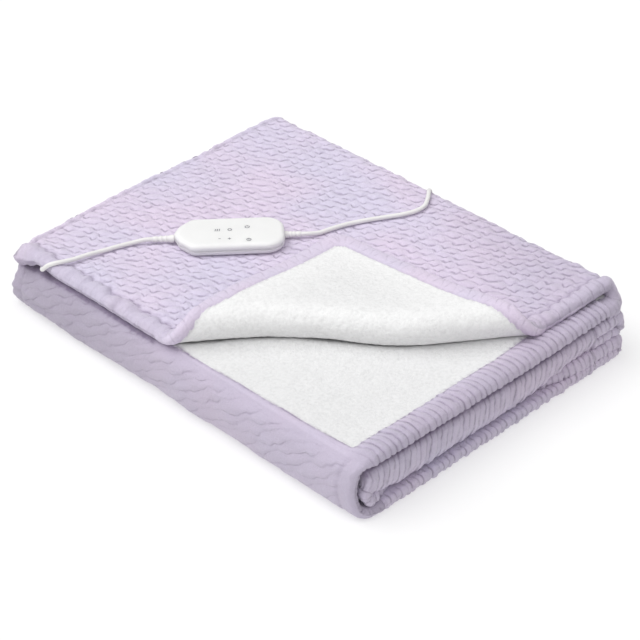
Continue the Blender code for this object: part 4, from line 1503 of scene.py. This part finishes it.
# ---- The plug -----------------------------------------------------------------------------------
def plug_body(place):
    """A flat plug that widens from its neck to its grip."""
    middle = PLUG_HEIGHT / 2.0
    sections = [
        # along, width, height
        (0.0, PLUG_NECK_WIDTH, 10.0),
        (5.0, 18.0, 12.2),
        (12.0, 24.0, PLUG_HEIGHT),
        (20.0, 29.0, PLUG_HEIGHT),
        (28.0, 33.2, PLUG_HEIGHT),
        (PLUG_LENGTH - 2.0, PLUG_WIDTH, PLUG_HEIGHT),
        (PLUG_LENGTH, PLUG_WIDTH - 1.6, PLUG_HEIGHT - 1.6),
    ]
    bm = bmesh.new()
    rings = []
    for along, width, height in sections:
        ring = []
        for i in range(PLUG_STEPS):
            angle = math.radians(360.0 / PLUG_STEPS * i)
            across, up = squarish(angle, width / 2.0, height / 2.0, 0.45, 0.55)
            ring.append(bm.verts.new(Vector((along, across, middle + up)) * MM))
        rings.append([bm.edges.new((ring[i - 1], ring[i])) for i in range(PLUG_STEPS)])
    for a, b in zip(rings, rings[1:]):
        bmesh.ops.bridge_loops(bm, edges=a + b)
    bmesh.ops.holes_fill(bm, edges=rings[0] + rings[-1])
    bmesh.ops.transform(bm, matrix=place, verts=bm.verts)
    add_mesh("plug_body_shell", bm, plastic_finish(), "white_plastic", "plug_body")


def plug_pins(place):
    """Two pins with their sleeves and rounded tips."""
    pin, sleeve_end = PIN_DIAMETER / 2.0, PIN_SLEEVE_LENGTH
    sleeve = [(0.0, pin - 0.1), (sleeve_end, pin - 0.1), (sleeve_end, pin - 0.5)]
    blade = [(sleeve_end, pin - 0.5), (sleeve_end + 0.1, pin)]
    for i in range(7):
        angle = math.radians(15.0 * i)
        along = PIN_LENGTH - PIN_TIP + PIN_TIP * math.sin(angle)
        blade.append((along, pin - PIN_TIP * (1.0 - math.cos(angle))))
    metal = moulded_finish("plated_pin", (0.78, 0.77, 0.74), 0.22, 1500.0, metallic=1.0)
    for name, way in (("a", -1.0), ("b", 1.0)):
        spot = Vector((PLUG_LENGTH + SEAT, way * PIN_SPACING / 2.0, PLUG_HEIGHT / 2.0)) * MM
        matrix = place @ Matrix.Translation(spot)
        bm = spun(blade, matrix, 24)
        add_mesh("plug_pin_metal_" + name, bm, metal, "nickel_pin", "plug_pin_" + name)
        bm = spun(sleeve, matrix, 24)
        add_mesh("plug_pin_sleeve_" + name, bm, plastic_finish(), "white_plastic")


# ---- The stage ----------------------------------------------------------------------------------
def lay_floor(scene):
    """A pale floor that the stack stands on."""
    bm = bmesh.new()
    bmesh.ops.create_grid(bm, x_segments=2, y_segments=2, size=9.0)
    mesh = bpy.data.meshes.new("floor")
    bm.to_mesh(mesh)
    bm.free()
    floor = bpy.data.objects.new("floor", mesh)
    floor.location.z = -0.0002
    scene.collection.objects.link(floor)
    paint, w, shader = new_finish("pale_floor")
    tone = w.ramp(w.noise(w.where(), 3.0), 0.2, 0.8)
    finish = {
        "Base Color": w.mix(tone, (0.49, 0.49, 0.49), (0.51, 0.51, 0.51)),
        "Roughness": 0.85,
        "Specular IOR Level": 0.1,
        "Emission Color": (1.0, 1.0, 1.0),
        "Emission Strength": 0.48,
    }
    w.feed(shader, finish)
    mesh.materials.append(paint)


def light_studio(scene):
    """A white room that is brighter above, and two soft lights."""
    world = bpy.data.worlds.new("studio")
    world.use_nodes = True
    w = Wires(world.node_tree)
    height = w.node("SeparateXYZ", {0: w.where("Generated")}).outputs["Z"]
    sky = w.math("MULTIPLY_ADD", w.math("MAXIMUM", height, 0.0), 0.55, 0.12)
    back = world.node_tree.nodes["Background"]
    w.feed(back, {"Color": (1.0, 1.0, 1.0), "Strength": sky})
    scene.world = world
    lights = [
        # name, where it comes from, softness in degrees, share of the key light
        ("key_light", (-0.9, 1.1, 2.1), 50.0, 1.0),
        ("top_light", (-0.75, -0.75, 2.0), 80.0, 0.62),
    ]
    for name, place, softness, share in lights:
        lamp = bpy.data.lights.new(name, "SUN")
        lamp.angle = math.radians(softness)
        lamp.energy = settings().key_light * share
        made = bpy.data.objects.new(name, lamp)
        made.location = place
        made.rotation_euler = (-Vector(place)).to_track_quat("-Z", "Y").to_euler()
        scene.collection.objects.link(made)


def place_camera(scene):
    """The photo's view of the stack."""
    camera = bpy.data.cameras.new("camera")
    camera.sensor_width = SENSOR
    camera.lens = LENS
    camera.clip_start = 0.05
    eye = bpy.data.objects.new("camera", camera)
    eye.location = EYE
    eye.rotation_euler = (math.radians(EYE_TILT), 0.0, math.radians(EYE_TURN))
    scene.collection.objects.link(eye)
    scene.camera = eye


# ---- Operators ----------------------------------------------------------------------------------
class ThrowOperator:
    bl_options = {"REGISTER", "UNDO"}

    def execute(self, context):
        self.build()
        return {"FINISHED"}


class THROW_OT_blanket(ThrowOperator, bpy.types.Operator):
    """Fold the throw and cover it with embossed plush and curly lining"""

    bl_idname = "throw.blanket"
    bl_label = "Folded throw"

    def build(self):
        step = settings().plush.step
        plush = Plush()
        all_over = rows_along(step)
        ends_only = rows_along(step, reach=24.0)
        set_back = rows_along(step, reach=34.0, set_back=15.4)
        curled = rows_along(step, reach=34.0, curled=True)
        lines = fold_lines()
        cloth_shell("throw_top", lines["top"], all_over, plush.top, True)
        stretches = [
            ("wrap", all_over, plush.wrap),
            ("base", ends_only, plush.rim),
            ("fifth", ends_only, plush.rim),
            ("inner_turn", ends_only, plush.rim),
            ("fourth", set_back, plush.rim),
            ("third", curled, plush.rim),
            ("low_turn", all_over, plush.turn),
            ("high_turn", all_over, plush.turn),
        ]
        for name, rows, cover in stretches:
            cloth_shell("throw_" + name, lines[name], rows, cover)


class THROW_OT_control(ThrowOperator, bpy.types.Operator):
    """Mould the hand control, its printed signs and its two strain reliefs"""

    bl_idname = "throw.control"
    bl_label = "Hand control"

    def build(self):
        low, high = CONTROL_BASE_HEIGHT, CONTROL_HEIGHT
        base = [(0.0, 4.6), (0.4, 3.6), (1.2, 2.5), (2.6, 1.3), (4.8, 0.4), (low - 0.3, 0.0), (low, 0.15)]
        cover = [(low + SEAT, 0.15), (low + 0.6, 0.0)]
        for i in range(9):
            angle = math.radians(11.25 * i)
            cover.append((high - 4.5 + 4.5 * math.sin(angle), 0.2 + 5.8 * (1.0 - math.cos(angle))))
        for name, profile in (("control_base", base), ("control_cover", cover)):
            add_mesh(name + "_shell", outline_hull(profile), plastic_finish(), "white_plastic", name)
        grey = moulded_finish("grey_print", settings().colours.print_grey, 0.5)
        for name, shapes in SIGNS.items():
            add_mesh(name, sign_mesh(shapes), grey, "white_plastic")
        left = control_matrix(CONTROL_LEFT_X - SEAT, 0.0, CONTROL_EXIT_Z, 180.0)
        add_relief("control_relief_left", left, LEFT_RELIEF_LENGTH, 4.7, 3.2, "relief_left")
        right = control_matrix(CONTROL_RIGHT_X + SEAT, 0.0, CONTROL_EXIT_Z)
        add_relief("control_relief_right", right, RIGHT_RELIEF_LENGTH, 4.3, 3.2, "relief_right")


class THROW_OT_plug(ThrowOperator, bpy.types.Operator):
    """Mould the flat two-pin plug with its grip and strain relief"""

    bl_idname = "throw.plug"
    bl_label = "Plug"

    def build(self):
        turned = Matrix.Rotation(-math.pi / 2.0, 4, "Z")
        place = Matrix.Translation(point(*PLUG_POINT, PLUG_FLOOR)) @ turned
        plug_body(place)
        plug_pins(place)
        neck = place @ Matrix.Translation(Vector((-SEAT, 0.0, PLUG_HEIGHT / 2.0)) * MM)
        neck = neck @ Matrix.Rotation(math.pi, 4, "Z")
        add_relief("plug_strain_relief", neck, PLUG_RELIEF_LENGTH, 4.4, 3.1, "plug_relief")


class THROW_OT_cords(ThrowOperator, bpy.types.Operator):
    """Lay the lead and the mains cord with its stored coil and tie"""

    bl_idname = "throw.cords"
    bl_label = "Cords"

    def build(self):
        lay_lead()
        lay_mains()


class THROW_OT_stage(ThrowOperator, bpy.types.Operator):
    """Set the pale floor, the soft studio light and the camera"""

    bl_idname = "throw.stage"
    bl_label = "Stage"

    def build(self):
        scene = bpy.context.scene
        scene.view_settings.view_transform = "Standard"
        lay_floor(scene)
        light_studio(scene)
        place_camera(scene)


class THROW_PT_panel(bpy.types.Panel):
    bl_label = "Folded heated throw"
    bl_idname = "THROW_PT_panel"
    bl_space_type = "VIEW_3D"
    bl_region_type = "UI"
    bl_category = "Throw"

    def draw(self, context):
        throw = context.scene.throw
        for group in (throw.plush, throw.colours):
            box = self.layout.box()
            for name in group.bl_rna.properties.keys():
                if name not in ("rna_type", "name"):
                    box.prop(group, name)
        self.layout.prop(throw, "cord")
        self.layout.prop(throw, "key_light")
        for operator in OPERATORS:
            self.layout.operator(operator.bl_idname)


OPERATORS = [THROW_OT_blanket, THROW_OT_control, THROW_OT_plug, THROW_OT_cords, THROW_OT_stage]
CLASSES = [ThrowPlushSettings, ThrowColourSettings, ThrowSettings] + OPERATORS + [THROW_PT_panel]


def register():
    for made in CLASSES:
        bpy.utils.register_class(made)
    bpy.types.Scene.throw = PointerProperty(type=ThrowSettings)


def unregister():
    del bpy.types.Scene.throw
    for made in reversed(CLASSES):
        bpy.utils.unregister_class(made)


def main():
    register()
    bpy.ops.throw.control()
    bpy.ops.throw.plug()
    bpy.ops.throw.cords()
    bpy.ops.throw.blanket()
    bpy.ops.throw.stage()


if __name__ == "__main__":
    main()
